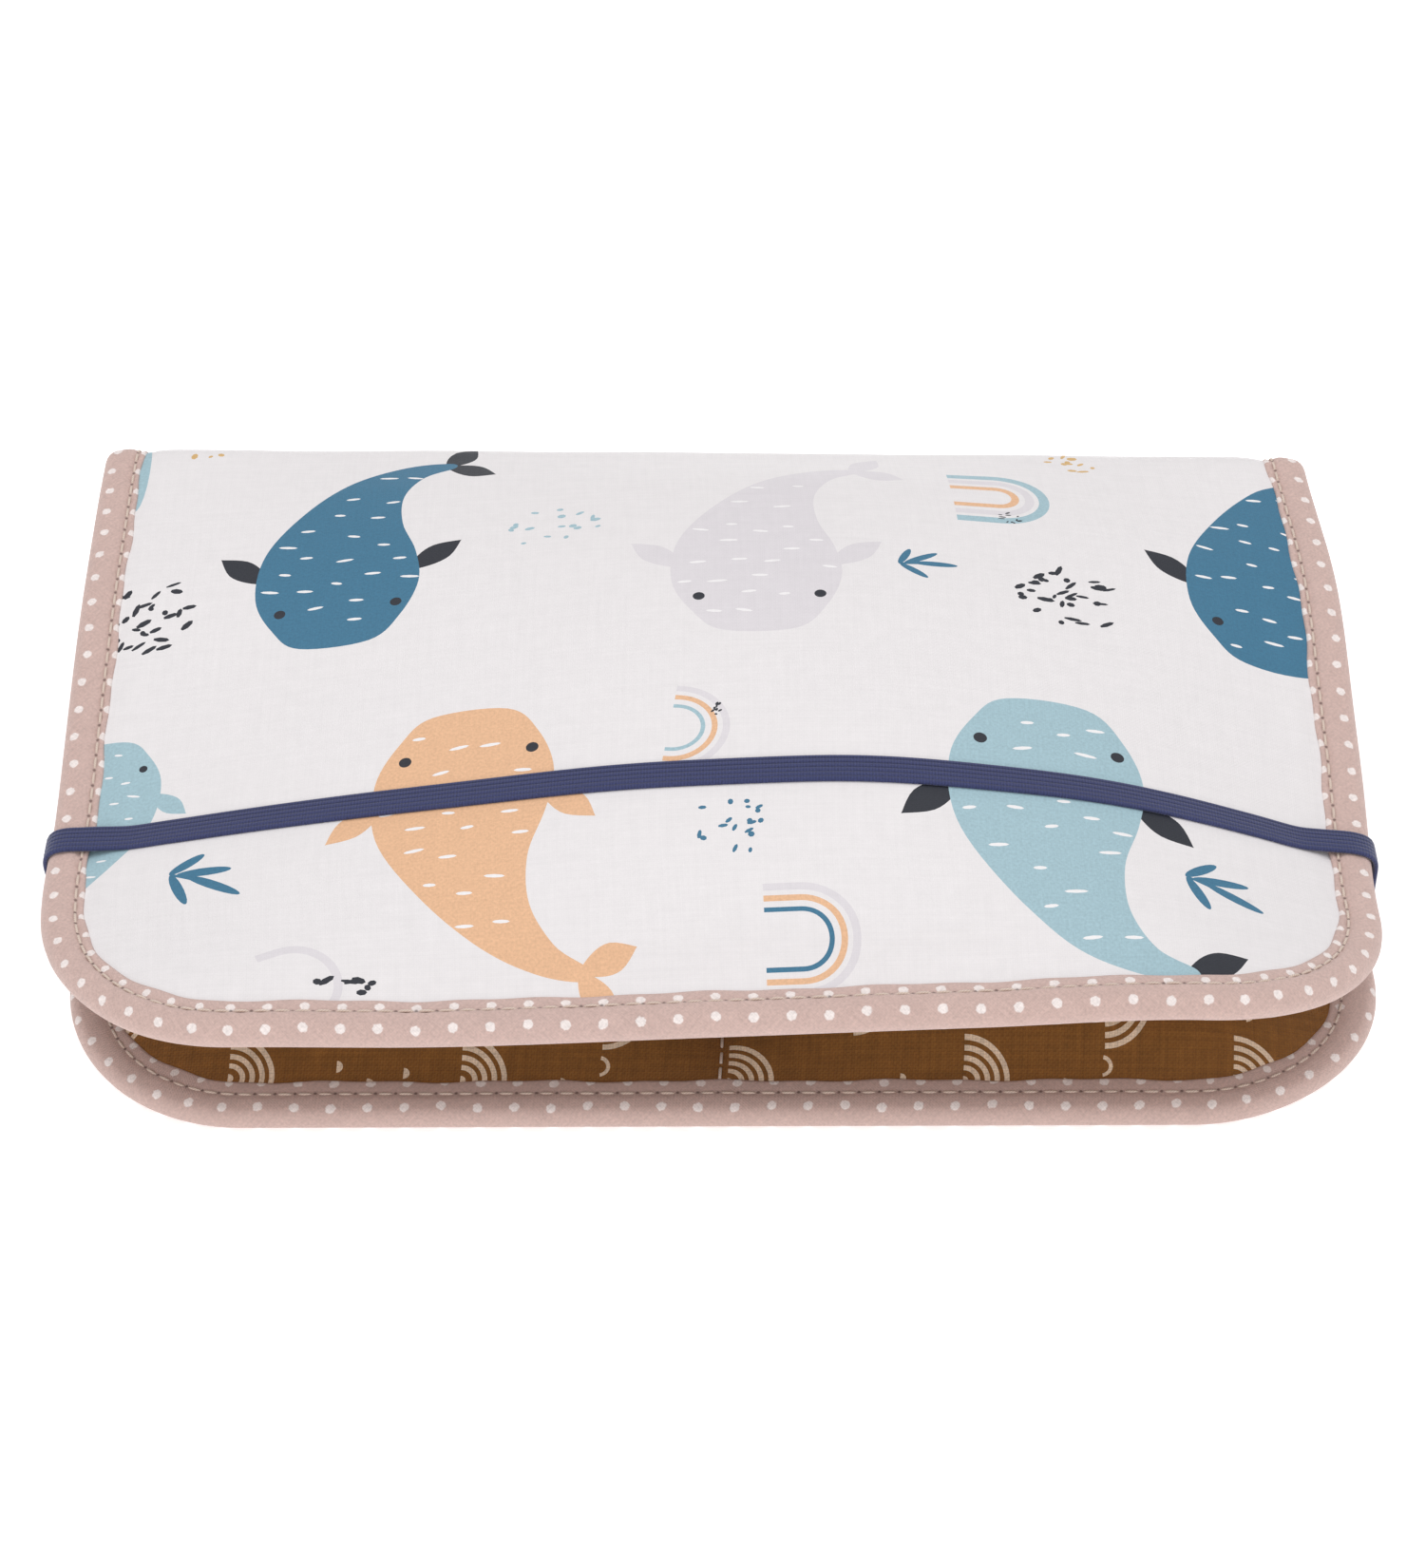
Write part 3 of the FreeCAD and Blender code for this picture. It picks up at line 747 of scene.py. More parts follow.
def sprig(size=1.0):
    """Four narrow leaves that fan out to the right from one foot."""
    shapes = [("teal", stroke([(0, 0), (2 * size, -0.2 * size), (4 * size, -0.5 * size)], 0.6))]
    for foot, turn, length in ((0, 52, 5.5), (1.0, 18, 7.5), (2.6, -14, 8.5), (0.2, -52, 6.5)):
        turn, reach = radians(turn), length * size / 2
        x, y = foot * size + reach * cos(turn), reach * sin(turn)
        shapes.append(("teal", oval(x, y, reach, 0.75 * size, turn)))
    return shapes


def rainbow(inks, radius, leg, width):
    """Half a rainbow lying on its side, one stripe to an ink, from the outside in."""
    pitch = width + 0.8
    return [(ink, arch(radius - k * pitch, width - 0.25 * k, leg=leg)) for k, ink in enumerate(inks)]


def scatter(ink, half_width, half_height, count, seed, longest=1.8):
    """A loose cluster of short dashes and specks."""
    rng = random.Random(seed)
    shapes = []
    for _ in range(count):
        x, y = rng.uniform(-half_width, half_width), rng.uniform(-half_height, half_height)
        if (x / half_width) ** 2 + (y / half_height) ** 2 < 1:
            long = rng.uniform(0.5, longest)
            shapes.append((ink, oval(x, y, long, rng.uniform(0.35, 0.7), rng.uniform(-0.3, 1.4), 7)))
    return shapes


class Print(list):
    """The outlines printed on one cloth, each with its ink."""

    def put(self, motif, x, s, size=1.0, turn=0.0, mirror=False, flip=False):
        """Adds a motif, scaled, mirrored across x, flipped along s, turned and moved."""
        c, d = cos(radians(turn)) * size, sin(radians(turn)) * size
        for ink, outline in motif:
            points = []
            for u, v in outline:
                u, v = (-u if mirror else u), (-v if flip else v)
                points.append((x + u * c - v * d, s + u * d + v * c))
            self.append((ink, points))


def cover_print():
    """The motifs of the cover and the top of the fold."""
    cloth = Print()
    cloth.put([("sky", oval(0, 0, 1.8, 12))], -112, 149)
    cloth.put(whale("teal", "night", 2), -68, 92.5)
    cloth.put(whale("mist", "mist", 5), 11, 86.5, 1.02)
    cloth.put(whale("teal", "night", 9), 108, 93.5)
    cloth.put(whale("sky", "sky", 4), -113.5, 76, 0.72, mirror=True, flip=True)
    cloth.put(whale("peach", "peach", 6), -41.5, 72, 1.05, flip=True)
    cloth.put(whale("sky", "night", 7), 63, 72.5, 1.13, flip=True)
    cloth.put(sprig(), 35, 107, turn=14)
    cloth.put(sprig(1.35), -96.5, 41, turn=-18)
    cloth.put(sprig(1.35), 84, 34, turn=-16)
    cloth.put(rainbow(["sky", "mist", "peach"], 9.3, 8.5, 2.0), 47, 134)
    cloth.put(rainbow(["mist", "peach", "sky"], 9.3, 1.0, 1.3), -7.4, 63, turn=-8)
    cloth.put(rainbow(["mist", "peach", "teal"], 9.6, 6.5, 1.4), 9, 17)
    cloth.put(rainbow(["mist", "ground"], 8, 4, 1.6), -78, 10, turn=20)
    cloth.put(scatter("night", 10, 8, 44, 21), 67, 102)
    cloth.put(scatter("night", 8, 9, 34, 22), -106, 106)
    cloth.put(scatter("sky", 9, 8, 24, 23, 1.1), -30, 123)
    cloth.put(scatter("teal", 6, 7, 22, 77, 1.0), 4, 40)
    cloth.put(scatter("ochre", 6, 4, 12, 25, 1.4), 73, 153)
    cloth.put(scatter("ochre", 5, 4, 9, 26, 1.4), -99, 157)
    cloth.put(scatter("night", 6, 3, 10, 27), -66, 11)
    cloth.put(scatter("night", 5.4, 5.4, 16, 28), 57, 126, 0.45)
    cloth.put(scatter("night", 4.0, 4.0, 10, 29, 1.0), 1.5, 67, 0.5)
    return cloth


def base_print():
    """The motifs of the lower fold and the underside."""
    cloth = Print()
    for column, (ink, fins) in enumerate([("sky", "night"), ("teal", "night"), ("peach", "peach")]):
        x = -92 + 78 * column
        cloth.put(whale(ink, fins, 31 + column), x, 196)
        cloth.put(rainbow(["sky", "mist", "peach"], 9, 8, 2.0), x + 34, 216)
        cloth.put(sprig(1.2), x - 18, 262, turn=-12)
        cloth.put(scatter("night", 9, 9, 26, 41 + column), x + 41, 250)
    for column, (ink, fins) in enumerate([("mist", "mist"), ("peach", "peach"), ("teal", "night")]):
        x = -60 + 80 * column
        cloth.put(whale(ink, fins, 51 + column), x, 331, flip=True)
        cloth.put(scatter("teal", 8, 8, 22, 61 + column), x - 36, 303)
        cloth.put(rainbow(["peach", "mist", "teal"], 8, 6, 1.6), x + 30, 330)
    return cloth


LINING_ROW, LINING_COLUMN = 17.5, 45.0  # from one half rainbow of the lining to the next


def lining_print(low, high):
    """Rows of small half rainbows on their sides, with open arcs and specks between them."""
    cloth = Print()
    for row in range(floor(low / LINING_ROW), ceil(high / LINING_ROW) + 1):
        for column in range(-6, 7):
            rng = random.Random(1000 * row + column)
            x = (column + 0.5 * (row % 2)) * LINING_COLUMN + rng.uniform(-2, 2)
            s = row * LINING_ROW + rng.uniform(-2, 2)
            for k in range(4):
                cloth.put([("cream", arch(7.9 - 1.75 * k, 0.95))], x, s)
            cloth.put([("cream", half_disc(1.0))], x, s)
            for k, spread in enumerate((12, 18, 24, 31)):
                small = half_disc(1.1) if k % 2 else arch(1.7, 0.7, 80, 10)
                cloth.put([("cream", small)], x + spread + rng.uniform(-2, 2), s + rng.uniform(-5, 5))
    return cloth


def printed_cloth(name, surface, outline, shapes, inks, materials, pitch=2.0):
    """A printed sheet. Its mesh follows every motif's outline, and each face takes its ink."""
    low, high = np.min(outline, 0), np.max(outline, 0)
    points = [Vector(p) for p in outline]
    rims = [list(range(len(outline)))]
    columns, rows = (int(n) for n in np.ceil((high - low) / pitch))
    for r in range(rows):
        for c in range(columns):
            shift = 0.25 + 0.5 * (r % 2)
            points.append(Vector((low[0] + (c + shift) * pitch, low[1] + (r + 0.5) * pitch)))
    used = ["ground"]
    for ink, shape in shapes:
        shape_low, shape_high = np.min(shape, 0), np.max(shape, 0)
        if np.all(shape_high > low) and np.all(shape_low < high):
            rims.append(list(range(len(points), len(points) + len(shape))))
            points += [Vector(p) for p in anticlockwise(shape)]
            used.append(ink)
    flat, faces, sources = flat_mesh(points, rims)
    kept = [(face, max(source)) for face, source in zip(faces, sources) if 0 in source]
    indices = [inks.index(used[top]) for _, top in kept]
    sheet = make_object(name, surface(*flat.T), [face for face, _ in kept], flat, materials, indices)
    drop_loose(sheet)
    return sheet


def flat_mesh(points, rims):
    """Triangles between flat points: the points, the faces and the outlines that each face is in."""
    made = delaunay_2d_cdt(points, [], rims, 1, 1e-4, True)
    return np.array(made[0], float), made[2], made[5]


def anticlockwise(outline):
    xs, ys = np.array(outline, float).T
    twice_area = float(np.sum(xs * np.roll(ys, -1) - np.roll(xs, -1) * ys))
    return outline[::-1] if twice_area < 0 else outline


def drop_loose(thing):
    """Removes points that no face uses."""
    work = bmesh.new()
    work.from_mesh(thing.data)
    for vertex in [v for v in work.verts if not v.link_faces]:
        work.verts.remove(vertex)
    work.to_mesh(thing.data)
    work.free()


def corner_arc(x, s, radius, turn, step):
    """A quarter circle of points about (x, s), from turn on, in whole degrees."""
    angles = [radians(degrees) for degrees in range(turn, turn + 91, step)]
    return [(x + radius * cos(a), s + radius * sin(a)) for a in angles]


def divided(outline, step):
    """An outline with more points along its longer edges."""
    dense = []
    for (ax, ay), (bx, by) in edges_of(outline):
        parts = max(1, round(hypot(bx - ax, by - ay) / step))
        dense += [(ax + (bx - ax) * k / parts, ay + (by - ay) * k / parts) for k in range(parts)]
    return dense


def panel_outline(margin, start, end, step=2.0):
    """The cut edge of the cloth, moved in by a margin, between two places along it."""
    radius = CORNER - margin
    side, last = HALF_WIDTH - CORNER, FABRIC_RUN - CORNER
    outline = []
    for x, s, turn in ((-side, CORNER, 180), (side, CORNER, 270), (side, last, 0), (-side, last, 90)):
        outline += corner_arc(x, s, radius, turn, 5)
    return divided(clip(clip(outline, start, 1), end, -1), step)


def clip(outline, level, side):
    """Keeps the part of an outline above (side 1) or below (side -1) a level."""
    kept = []
    for (ax, ay), (bx, by) in edges_of(outline):
        if (ay - level) * side >= 0:
            kept.append((ax, ay))
        if (ay - level) * (by - level) < 0:
            kept.append((ax + (bx - ax) * (level - ay) / (by - ay), level))
    return kept


# ---- bindings and stitches


def rim_path(step, upper):
    """Places along the cut edge of the cover, or of the base, from the middle of the spine on
    the left to the same place on the right: x, s, the inward direction and the distance run."""
    straight = SPINE_MIDDLE - CORNER if upper else FABRIC_RUN - CORNER - SPINE_MIDDLE
    quarter = pi / 2 * CORNER
    total = 2 * (straight + quarter + HALF_WIDTH - CORNER)
    runs = np.linspace(0, total, round(total / step) + 1)
    places = []
    for run in runs:
        side = -1 if run < total / 2 else 1
        near = min(run, total - run)
        a = min(max(near - straight, 0) / CORNER, pi / 2)
        c, d = cos(a), sin(a)
        x = HALF_WIDTH - CORNER * (1 - c) - max(near - straight - quarter, 0)
        s = CORNER * (1 - d) + max(straight - near, 0)
        places.append((side * x, s, -side * c, d))
    x, s, inward_x, inward_s = np.array(places, float).T
    if not upper:
        s, inward_s = FABRIC_RUN - s, -inward_s
    return x, s, inward_x, inward_s, runs


def seam_inset(inward_s):
    """The seam lies nearer to the edge along the fronts than along the sides."""
    return SIDE_SEAM + (FRONT_SEAM - SIDE_SEAM) * ease(np.abs(inward_s))


def tape_thickness(s):
    """The base's edge is pressed a little flatter than the cover's."""
    return EDGE - 0.7 * ease((s - SPINE_MIDDLE) / 40)


def tape_point(path, across, depth):
    """A place on the tape: across is inward from the edge, depth is below the outer face."""
    x, s, inward_x, inward_s, _ = path
    point, normal = skin(x + across * inward_x, s + across * inward_s)
    return point - depth[..., None] * normal


# The tape's turned-under lip: inset and depth of its points.
TAPE_LIP = ((TAPE_WIDTH - 0.9, 1.0), (TAPE_WIDTH - 0.1, 0.85), (TAPE_WIDTH + 0.1, 0.4))


def tape_section(run, thickness, seam):
    """Inset and depth of the folded tape's points, from its outer lip round to its inner lip.
    The swell between the seam and the edge is smaller where the edge is pressed flat."""
    fullness = 1 - 0.8 * (EDGE - thickness)
    nose = thickness / 2
    wave = 0.22 * np.sin(run / 5.3) + 0.16 * np.sin(run / 2.3 + 1)
    held = 0.1 * np.cos(tau * run / STITCH_PITCH)
    face = [(u + wave, v) for u, v in TAPE_LIP]
    for u in np.linspace(TAPE_WIDTH - 0.35, nose, 12):
        dimple = (0.3 * fullness + held) * exp(-(((u - seam) / 0.75) ** 2))
        swell = 0.3 * fullness * sin(pi * max(0.0, (seam - u) / (seam - nose))) * (u < seam)
        fade = max(0.0, min(1.0, (u - nose) / 3))
        face.append((u + wave * fade, dimple - swell))
    turns = [pi * k / 12 for k in range(1, 12)]
    edge = [(nose - nose * sin(a), nose - nose * cos(a)) for a in turns]
    return face + edge + [(u, thickness - v) for u, v in face[::-1]]


def bound_edge(name, upper):
    """The dotted tape folded round one panel's edge, and half the height of the spine."""
    path = rim_path(TAPE_STEP, upper)
    _, s, _, inward_s, runs = path
    seams = seam_inset(inward_s)
    sections = np.array([tape_section(*spot) for spot in zip(runs, tape_thickness(s), seams)])
    count = sections.shape[1]
    points = np.stack([tape_point(path, *sections[:, k].T) for k in range(count)], 1)
    steps = np.linalg.norm(np.diff(sections, axis=1), axis=2)
    across = np.concatenate([np.zeros((len(runs), 1)), np.cumsum(steps, 1)], 1)
    along = np.repeat(runs[:, None], count, 1)
    dots = round(runs[-1] / DOT_PITCH) * DOT_PITCH / runs[-1]
    slide = DOT_START - (COVER_SLIDE if upper else BASE_SLIDE) * ease(np.abs(inward_s))
    uv = np.stack([along * dots, across + slide[:, None]], -1)
    tape = make_object(name, points, grid_faces(len(runs), count), uv.reshape(-1, 2), [TAPE])
    pitch = runs[-1] / round(runs[-1] / STITCH_PITCH)
    seam_place = np.stack([along / pitch, sections[:, :, 0] - seams[:, None]], -1)
    add_uv(tape.data, "seam_place", seam_place.reshape(-1, 2))
    return tape


# The course of a stitch: how far from its middle, in half lengths, and how deep.
STITCH_SHAPE = ((-1, 0.55), (-0.86, 0.08), (-0.5, -0.12), (0, -0.16), (0.5, -0.12), (0.86, 0.08), (1, 0.55))
RINGS = len(STITCH_SHAPE)
ROUND = 6  # points round a thread
RING_ANGLES = [tau * k / ROUND for k in range(ROUND)]
THREAD_DEPTH = 0.26  # of a seam's thread below the tape's level


def thread_faces(count):
    """The faces of closed lengths of thread, stored one after another, ring by ring."""
    faces = []
    for first in range(0, count * RINGS * ROUND, RINGS * ROUND):
        faces += grid_faces(RINGS, ROUND, True, first)
        faces.append(tuple(first + k for k in reversed(range(ROUND))))
        faces.append(tuple(first + (RINGS - 1) * ROUND + k for k in range(ROUND)))
    return faces


def thread_uv(count, pace):
    """Places for the points of such threads: pace is the distance from ring to ring."""
    return np.tile([(r * pace, k * 0.25) for r in range(RINGS) for k in range(ROUND)], (count, 1))


def stitch_row(name, spots, ups):
    """Separate stitches along a row of places: spots are their middles, ups point out of the cloth."""
    ahead = heading(spots)
    side = unit(np.cross(ups, ahead))
    up = np.cross(ahead, side)
    rings = []
    for offset, depth in STITCH_SHAPE:
        centre = spots + ahead * offset * STITCH_LENGTH / 2 - up * depth
        rings += [centre + THREAD * (cos(a) * side + sin(a) * up) for a in RING_ANGLES]
    count = len(spots)
    uv = thread_uv(count, STITCH_LENGTH / (RINGS - 1))
    return make_object(name, np.stack(rings, 1), thread_faces(count), uv, [THREAD_BEIGE])


def bound_stitches(name, upper, outer):
    """One side of the seam through a bound edge, except where the two panels' rows would meet."""
    path = rim_path(STITCH_PITCH, upper)
    x, s, inward_x, inward_s, _ = path
    seams = seam_inset(inward_s)
    depth = THREAD_DEPTH + 0 * s if outer else tape_thickness(s) - THREAD_DEPTH
    spots = tape_point(path, seams, depth)
    _, ups = skin(x + seams * inward_x, s + seams * inward_s)
    kept = np.abs(s - SPINE_MIDDLE) > 0.01
    return stitch_row(name, spots[kept], (ups if outer else -ups)[kept])


def join(name, things):
    """One object from several."""
    with bpy.context.temp_override(active_object=things[0], selected_editable_objects=things):
        bpy.ops.object.join()
    things[0].name = name
    things[0].data.name = name
    return things[0]


# ---- panels


def between(x, s, share):
    """Points part of the way from the outer cloth to the lining."""
    return outer_face(x, s) * (1 - share) + lining_face(x, s) * share


def padded_block(name, start, end, pitch=4.0):
    """The wadding of one panel: a closed pad between the outer cloth and the lining."""
    outline = panel_outline(TAPE_INSET + 0.4, start, end, pitch)
    low, high = np.min(outline, 0), np.max(outline, 0)
    grid = [
        (x, s)
        for x in np.arange(low[0] + pitch / 2, high[0], pitch)
        for s in np.arange(low[1] + pitch / 2, high[1], pitch)
    ]
    flat, faces, sources = flat_mesh([Vector(p) for p in outline + grid], [list(range(len(outline)))])
    faces = [face for face, source in zip(faces, sources) if source]
    count = len(flat)
    walls = [(b, a, a + count, b + count) for a, b in loop_edges(faces)]
    lower = [tuple(i + count for i in reversed(face)) for face in faces]
    points = np.concatenate([between(*flat.T, share) for share in (0.16, 0.84)])
    pad = make_object(name, points, faces + lower + walls, None, [WADDING])
    drop_loose(pad)
    return pad


def loop_edges(faces):
    """The edges that only one face uses, in that face's direction."""
    edges = {edge for face in faces for edge in edges_of(face)}
    return [(a, b) for a, b in edges if (b, a) not in edges]


# ---- pockets

POCKET_TUCK = 1.6  # how far the pocket's sewn edges go under the tape
POCKET_FRONT = pocket_low[1] - POCKET_TUCK
POCKET_MOUTH = pocket_high[1]
POCKET_SIDE = pocket_high[0] + POCKET_TUCK
POCKET_CORNER = CORNER - TAPE_WIDTH + POCKET_TUCK
POCKET_HEIGHT = 9.5
POCKET_RISE = 46  # how far behind the tape the pouches have this height
POCKET_SLACK, POCKET_SLACK_LENGTH = 0.45, 34  # height and length of their soft waves
POCKET_THICK = 0.4
POCKET_THREAD = 0.32  # height of its threads over the middle of the cloth
HEM = 9.0


def base_run(y):
    """Where along the cloth a place y of the base is."""
    return FABRIC_RUN - (y - BASE_FRONT)


def pocket_height(x, y):
    """Height of the pocket cloth over the base: two soft pouches with a sewn line between."""
    out = np.clip(np.abs(x) / (HALF_WIDTH - TAPE_WIDTH), 0, 1)
    across = (1 - np.abs(2 * out - 1) ** 2.6) ** 0.8
    from_tape = inset(x, base_run(y)) - TAPE_WIDTH + 0.3
    back = np.clip((y - BASE_FRONT - TAPE_WIDTH + 0.3) / POCKET_RISE, 0, 1)
    along = 1 - (1 - back) ** 2.2
    softness = POCKET_SLACK * waves(x, y, 17, POCKET_SLACK_LENGTH) * across * along
    foot = tape_thickness(base_run(y)) - 0.5
    return foot + (POCKET_HEIGHT * across * along + softness) * np.clip(from_tape / 10, 0, 1) ** 0.7


def pocket_face(x, s):
    """Points on the pocket cloth. s is measured back from the front of the pocket."""
    y = POCKET_FRONT + s
    run = base_run(y)
    return np.stack([x * width_share(run) + middle_line(run), y, pocket_height(x, y)], -1)


def pocket_outline():
    """The pocket's cut: round front corners under the tape, and a straight mouth."""
    radius, side, depth = POCKET_CORNER, POCKET_SIDE, POCKET_MOUTH - POCKET_FRONT
    outline = [(side, depth), (-side, depth)]
    for x, turn in ((-side + radius, 180), (side - radius, 270)):
        outline += corner_arc(x, radius, radius, turn, 6)
    return divided(outline, 2)


# ---- elastic


def band_path(step):
    """The elastic's run: up the left edge, over the cover and down the right edge."""
    nose = EDGE / 2
    xs = np.linspace(-HALF_WIDTH + nose + 0.5, HALF_WIDTH - nose - 0.5, 235)
    s = BAND_Y - COVER_FRONT
    edge, _ = skin(xs, s)
    heights = np.maximum(outer_face(xs, s)[:, 2], edge[:, 2] + BAND_CLEAR)
    over = list(zip(edge[:, 0], heights + 0.1))
    ends = []
    for sign in (-1, 1):
        top, _ = skin(sign * HALF_WIDTH, s)
        foot, _ = skin(sign * HALF_WIDTH, base_run(BAND_Y))
        level = top[2] - nose
        rise = np.linspace(BAND_FOOT, level, 24)
        drift = foot[0] + (top[0] - foot[0]) * ease(rise / level) + sign * BAND_SIDE_CLEAR
        turns = np.linspace(0, pi / 2, 8)[1:]
        clear = BAND_SIDE_CLEAR + (BAND_CLEAR - BAND_SIDE_CLEAR) * np.sin(turns)
        bend_x = top[0] + sign * ((nose + clear) * np.cos(turns) - nose)
        bend_z = level + (nose + clear) * np.sin(turns)
        ends.append(list(zip(drift, rise)) + list(zip(bend_x, bend_z)))
    line = np.array(ends[0] + over + ends[1][::-1])
    for _ in range(2):
        line[1:-1] = 0.25 * line[:-2] + 0.5 * line[1:-1] + 0.25 * line[2:]
    run = np.concatenate([[0], np.cumsum(np.linalg.norm(np.diff(line, axis=0), axis=1))])
    even = np.linspace(0, run[-1], round(run[-1] / step) + 1)
    return np.stack([np.interp(even, run, line[:, k]) for k in (0, 1)], -1), even


def band_section():
    """The elastic's section, width and height, with rounded ribs above and below."""
    half = BAND_WIDTH / 2
    across = np.linspace(-half, half, 49)
    swell = 0.11 * np.abs(np.sin(BAND_RIBS * pi * (across + half) / BAND_WIDTH)) ** 0.6
    body = BAND_THICK / 2 * np.clip(1 - (np.abs(across) / half) ** 10, 0, 1) ** 0.5
    upper = [(u, b * 0.86 + w * (b > 0)) for u, b, w in zip(across, body, swell)]
    lower = [(u, -v) for u, v in upper[-2:0:-1]]
    return np.array(upper + lower)


def elastic():
    """The navy elastic over the cover, sewn to the base's edge at both ends."""
    path, run = band_path(BAND_STEP)
    ahead = heading(path)
    section = band_section()
    count = len(section)
    rise = section[None, :, 1] + BAND_THICK / 2
    x = path[:, 0, None] - ahead[:, 1, None] * rise
    z = path[:, 1, None] + ahead[:, 0, None] * rise
    y = BAND_Y + BAND_DRIFT * np.sin(run / BAND_DRIFT_LENGTH)[:, None] + section[None, :, 0] + 0 * x
    tilt = cover_slope(path[:, 0])[:, None] * section[None, :, 0] * ease((z - 12) / 6)
    faces = grid_faces(len(run), count, True)
    faces.append(tuple(reversed(range(count))))
    faces.append(tuple((len(run) - 1) * count + k for k in range(count)))
    uv = np.stack([np.repeat(run[:, None], count, 1), np.repeat(section[None, :, 0], len(run), 0)], -1)
    points = np.stack([x, y, z + tilt], -1)
    return make_object("elastic_closure", points, faces, uv.reshape(-1, 2), [ELASTIC])


def cover_slope(x):
    """How steeply the cover rises from front to back under the elastic."""
    inner = np.clip(x, -HALF_WIDTH + 1, HALF_WIDTH - 1)
    s = BAND_Y - COVER_FRONT
    low, high = (outer_face(inner, s + k * BAND_WIDTH / 2)[:, 2] for k in (-1, 1))
    return (high - low) / BAND_WIDTH


TACK_LINES = 9
TACK_LOW, TACK_HIGH = 1.7, 4.1
TACK_WIDTH = BAND_WIDTH - 0.8
TACK_ZIGZAG = 0.25  # how far its lines lie to one side and the other
TACK_SINK = 0.25  # how far their ends dip into the elastic


def bar_tacks():
    """Dense zigzag bars that hold the elastic's ends to the base's binding."""
    rows = []
    for sign in (-1, 1):
        edge, _ = skin(sign * HALF_WIDTH, base_run(BAND_Y))
        reach = edge[0] + sign * (BAND_SIDE_CLEAR + BAND_THICK)
        points = []
        for line, z in enumerate(np.linspace(TACK_LOW, TACK_HIGH, TACK_LINES)):
            zigzag = TACK_ZIGZAG if line % 2 else -TACK_ZIGZAG
            for k in range(RINGS):
                along = k / (RINGS - 1) - 0.5
                sink = TACK_SINK * abs(2 * along) ** 6
                y = BAND_Y + zigzag - sign * along * TACK_WIDTH
                for a in RING_ANGLES:
                    x = reach + sign * (THREAD * cos(a) - sink)
                    points.append((x, y, z + THREAD * sin(a)))
        uv = thread_uv(TACK_LINES, 0.8)
        rows.append(make_object(f"tack_{sign}", points, thread_faces(TACK_LINES), uv, [THREAD_NAVY]))
    return join("bar_tack_stitches", rows)


# ---- assembly

PALE_INKS = ("ground", "chalk", "mist")
OUTER = [
    coated_ink(ink, colour, 0.01 if ink in PALE_INKS else 0.09)
    for ink, colour in zip(OUTER_INKS, OUTER_COLOURS)
]
LINING = [lining_ink(n, c) for n, c in zip(LINING_INKS, LINING_COLOURS)]
TAPE = tape_cloth()
ELASTIC = elastic_cloth()
THREAD_BEIGE = sewing_thread("beige_thread", "dcc8ba")
THREAD_NAVY = sewing_thread("navy_thread", "2a2f52")
WADDING = wadding_felt()


def bend(piece, part):
    """Bakes a piece's transform into its mesh, the same for either part."""
    if part == "cover":
        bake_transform(piece)
    else:
        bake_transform(piece)


HALVES = (("cover", 0, SPINE_MIDDLE), ("base", SPINE_MIDDLE, FABRIC_RUN))


def build_cloth(kind, node, surface, prints, inks, materials):
    """The outer cloth or the lining, in two sheets that meet at the middle of the spine."""
    for (part, start, end), shapes in zip(HALVES, prints):
        cut = panel_outline(TAPE_INSET, start, end)
        cloth = printed_cloth(part + kind, surface, cut, shapes, inks, materials)
        if surface is lining_face:
            cloth.data.flip_normals()
        bend(cloth, part)
        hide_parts(part + node)
        if part == "base":
            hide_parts("spine" + node)


def build_cloths():
    prints = cover_print(), base_print()
    build_cloth("_outer_cloth", "_outer_fabric", outer_face, prints, OUTER_INKS, OUTER)
    arcs = [lining_print(start, end) for _, start, end in HALVES]
    build_cloth("_lining_cloth", "_lining", lining_face, arcs, LINING_INKS, LINING)


WADDING_GAP = 1.5  # between a panel's wadding and the fold


def build_wadding():
    """Three closed pads, which leave the folds free."""
    gap = WADDING_GAP
    spans = (
        ("cover", 0, COVER_RUN - gap, "cover_panel"),
        ("spine", SPINE_START + gap / 2, SPINE_START + SPINE_RUN - gap / 2, "spine"),
        ("base", BASE_START + gap, FABRIC_RUN, "base_panel"),
    )
    for part, start, end, body in spans:
        block = padded_block(part + "_wadding", start, end)
        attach(block, body)
        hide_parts(part + "_batting")


def build_tapes():
    """Both bindings. The base's stands for the tape at the spine's ends as well."""
    for part, _, _ in HALVES:
        tape = bound_edge(part + "_tape", part == "cover")
        bend(tape, part)
        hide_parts(part + "_binding")
        if part == "base":
            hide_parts("spine_binding_left", "spine_binding_right")


def build_tape_stitches():
    """Both sides of the seams through the bindings."""
    for part, _, _ in HALVES:
        for face in ("outer", "inner"):
            seam = bound_stitches(f"{part}_{face}_stitches", part == "cover", face == "outer")
            bend(seam, part)
            if face == "outer":
                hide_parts(part + "_binding_stitches")
                if part == "base":
                    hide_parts("spine_stitches_left", "spine_stitches_right")


def pocket_stitches(name, x, s):
    """A row of stitches on the pocket cloth."""
    step = 0.4
    place = pocket_face(x, s)
    across = pocket_face(x + step, s) - pocket_face(x - step, s)
    along = pocket_face(x, s + step) - pocket_face(x, s - step)
    ups = unit(np.cross(across, along))
    return stitch_row(name, place + POCKET_THREAD * ups, ups)


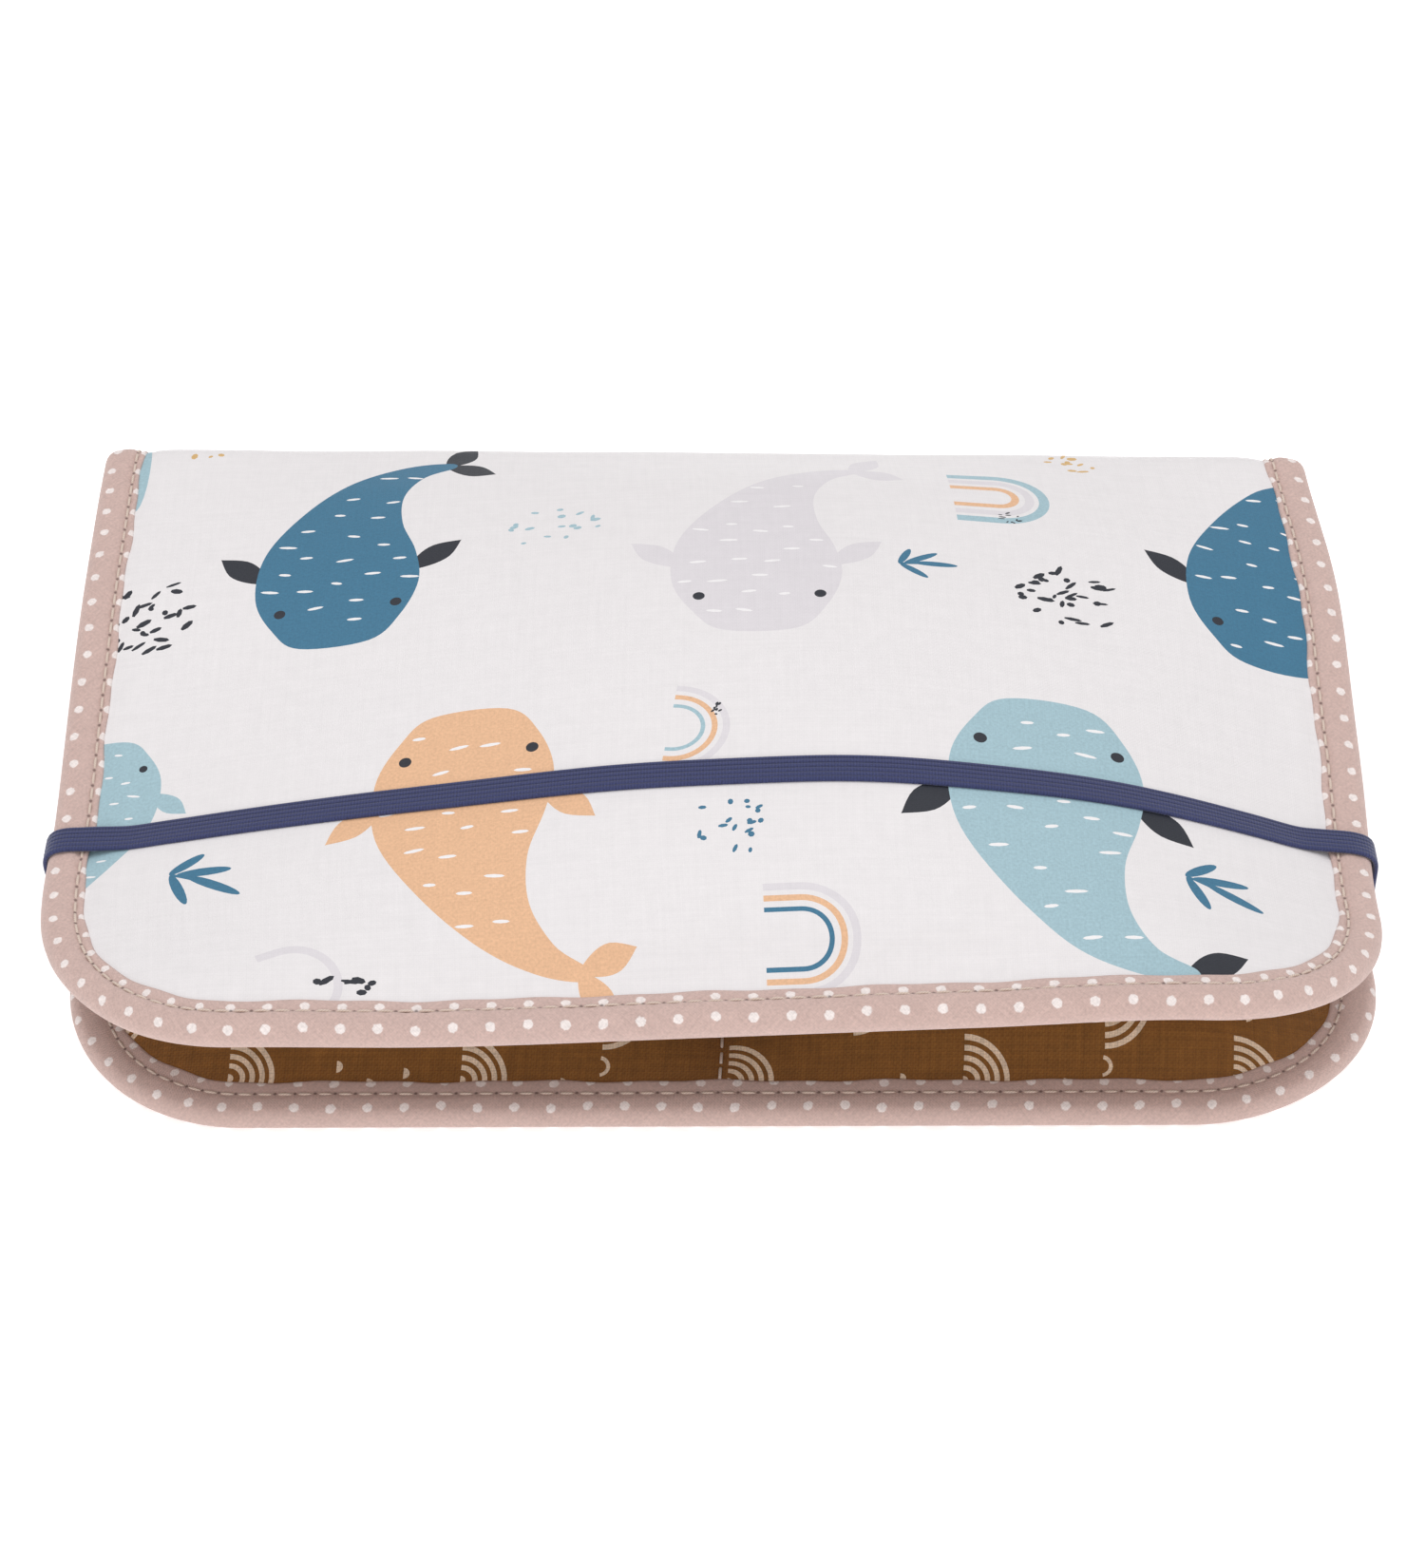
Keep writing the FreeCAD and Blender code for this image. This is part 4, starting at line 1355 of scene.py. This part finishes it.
def build_pockets():
    outline = pocket_outline()
    depth = POCKET_MOUTH - POCKET_FRONT
    arcs = lining_print(0, depth)
    cloth = printed_cloth("pocket_cloth", pocket_face, outline, arcs, LINING_INKS, LINING)
    thickness = cloth.modifiers.new("cloth_thickness", "SOLIDIFY")
    thickness.thickness = POCKET_THICK * MM
    thickness.offset = 0
    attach(cloth, "base_panel")
    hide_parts("pocket_panel")

    s = np.arange(POCKET_TUCK + 1.5, depth - 1, STITCH_PITCH)
    divider = pocket_stitches("divider_stitches", 0 * s, s)
    reach = HALF_WIDTH - TAPE_WIDTH - 2.5
    x = np.arange(-reach, reach, STITCH_PITCH)
    hem = pocket_stitches("pocket_hem_stitches", x, depth - HEM + 0 * x)
    for row in (divider, hem):
        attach(row, "base_panel")
    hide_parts("pocket_divider_stitches")


def build_elastic():
    band = elastic()
    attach(band, "base_panel")
    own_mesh(band)
    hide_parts("elastic_band")
    tacks = bar_tacks()
    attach(tacks, "base_panel")
    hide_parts("band_bar_tacks")


# ---- studio

FLOOR_GLOW = 0.45  # the lit table under the pad


def floor_paint():
    nodes = Nodes("pale_floor")
    grain = nodes.noise(nodes.add("TexCoord").outputs["Object"], 60.0, 3.0)
    sockets = {
        "Base Color": nodes.grey(nodes.ramp(grain, *NOISE_RANGE, 0.9, 0.92)),
        "Emission Color": (1, 1, 1, 1),
        "Emission Strength": FLOOR_GLOW,
        "Roughness": 0.9,
        "Specular IOR Level": 0.1,
    }
    return nodes.finish(sockets)


def build_floor():
    reach, level = 4000.0, -0.45
    corners = [(x * reach, y * reach, level) for x, y in ((-1, -1), (1, -1), (1, 1), (-1, 1))]
    make_object("studio_floor", corners, [(0, 1, 2, 3)], None, [floor_paint()], shade=False)


LIGHT_TARGET = Vector((0, 0, 0.02))


def area_light(name, place, size, power):
    """A large soft light that faces the pad."""
    lamp = bpy.data.lights.new(name, "AREA")
    lamp.shape = "RECTANGLE"
    lamp.size, lamp.size_y = size
    lamp.energy = power
    thing = bpy.data.objects.new(name, lamp)
    thing.location = place
    thing.rotation_euler = (LIGHT_TARGET - Vector(place)).to_track_quat("-Z", "Y").to_euler()
    bpy.context.scene.collection.objects.link(thing)


def build_lights():
    area_light("overhead_softbox", (0.0, 0.32, 1.32), (1.8, 1.4), 9.2)
    area_light("front_fill", (-0.4, -1.3, 0.75), (1.6, 1.0), 5.8)
    area_light("right_fill", (1.3, -0.4, 0.8), (1.0, 1.0), 2)
    world = bpy.data.worlds.new("white_studio")
    bpy.context.scene.world = world
    world.use_nodes = True
    background = world.node_tree.nodes["Background"]
    background.inputs["Color"].default_value = (1.0, 1.0, 1.0, 1.0)
    background.inputs["Strength"].default_value = 0.6


CAMERA_PLACE = (0.0072, -0.493, 0.4547)
CAMERA_ELEVATION = 42.0
CAMERA_AZIMUTH = -0.76
CAMERA_ROLL = -0.54
CAMERA_LENS = 81.4
CAMERA_SENSOR = 36


def build_camera():
    """The camera stands in front of the pad and looks down on it."""
    lens = bpy.data.cameras.new("photo_view")
    lens.lens = CAMERA_LENS
    lens.sensor_width = CAMERA_SENSOR
    lens.clip_start = 0.05
    camera = bpy.data.objects.new("photo_view", lens)
    camera.location = CAMERA_PLACE
    aim = Euler((radians(90 - CAMERA_ELEVATION), 0, -radians(CAMERA_AZIMUTH))).to_matrix()
    camera.rotation_euler = (aim @ Matrix.Rotation(radians(CAMERA_ROLL), 3, "Z")).to_euler()
    bpy.context.scene.collection.objects.link(camera)
    bpy.context.scene.camera = camera


build_camera()
build_cloths()
build_wadding()
build_tapes()
build_tape_stitches()
build_pockets()
build_elastic()
build_floor()
build_lights()
bpy.context.scene.view_settings.view_transform = "Standard"
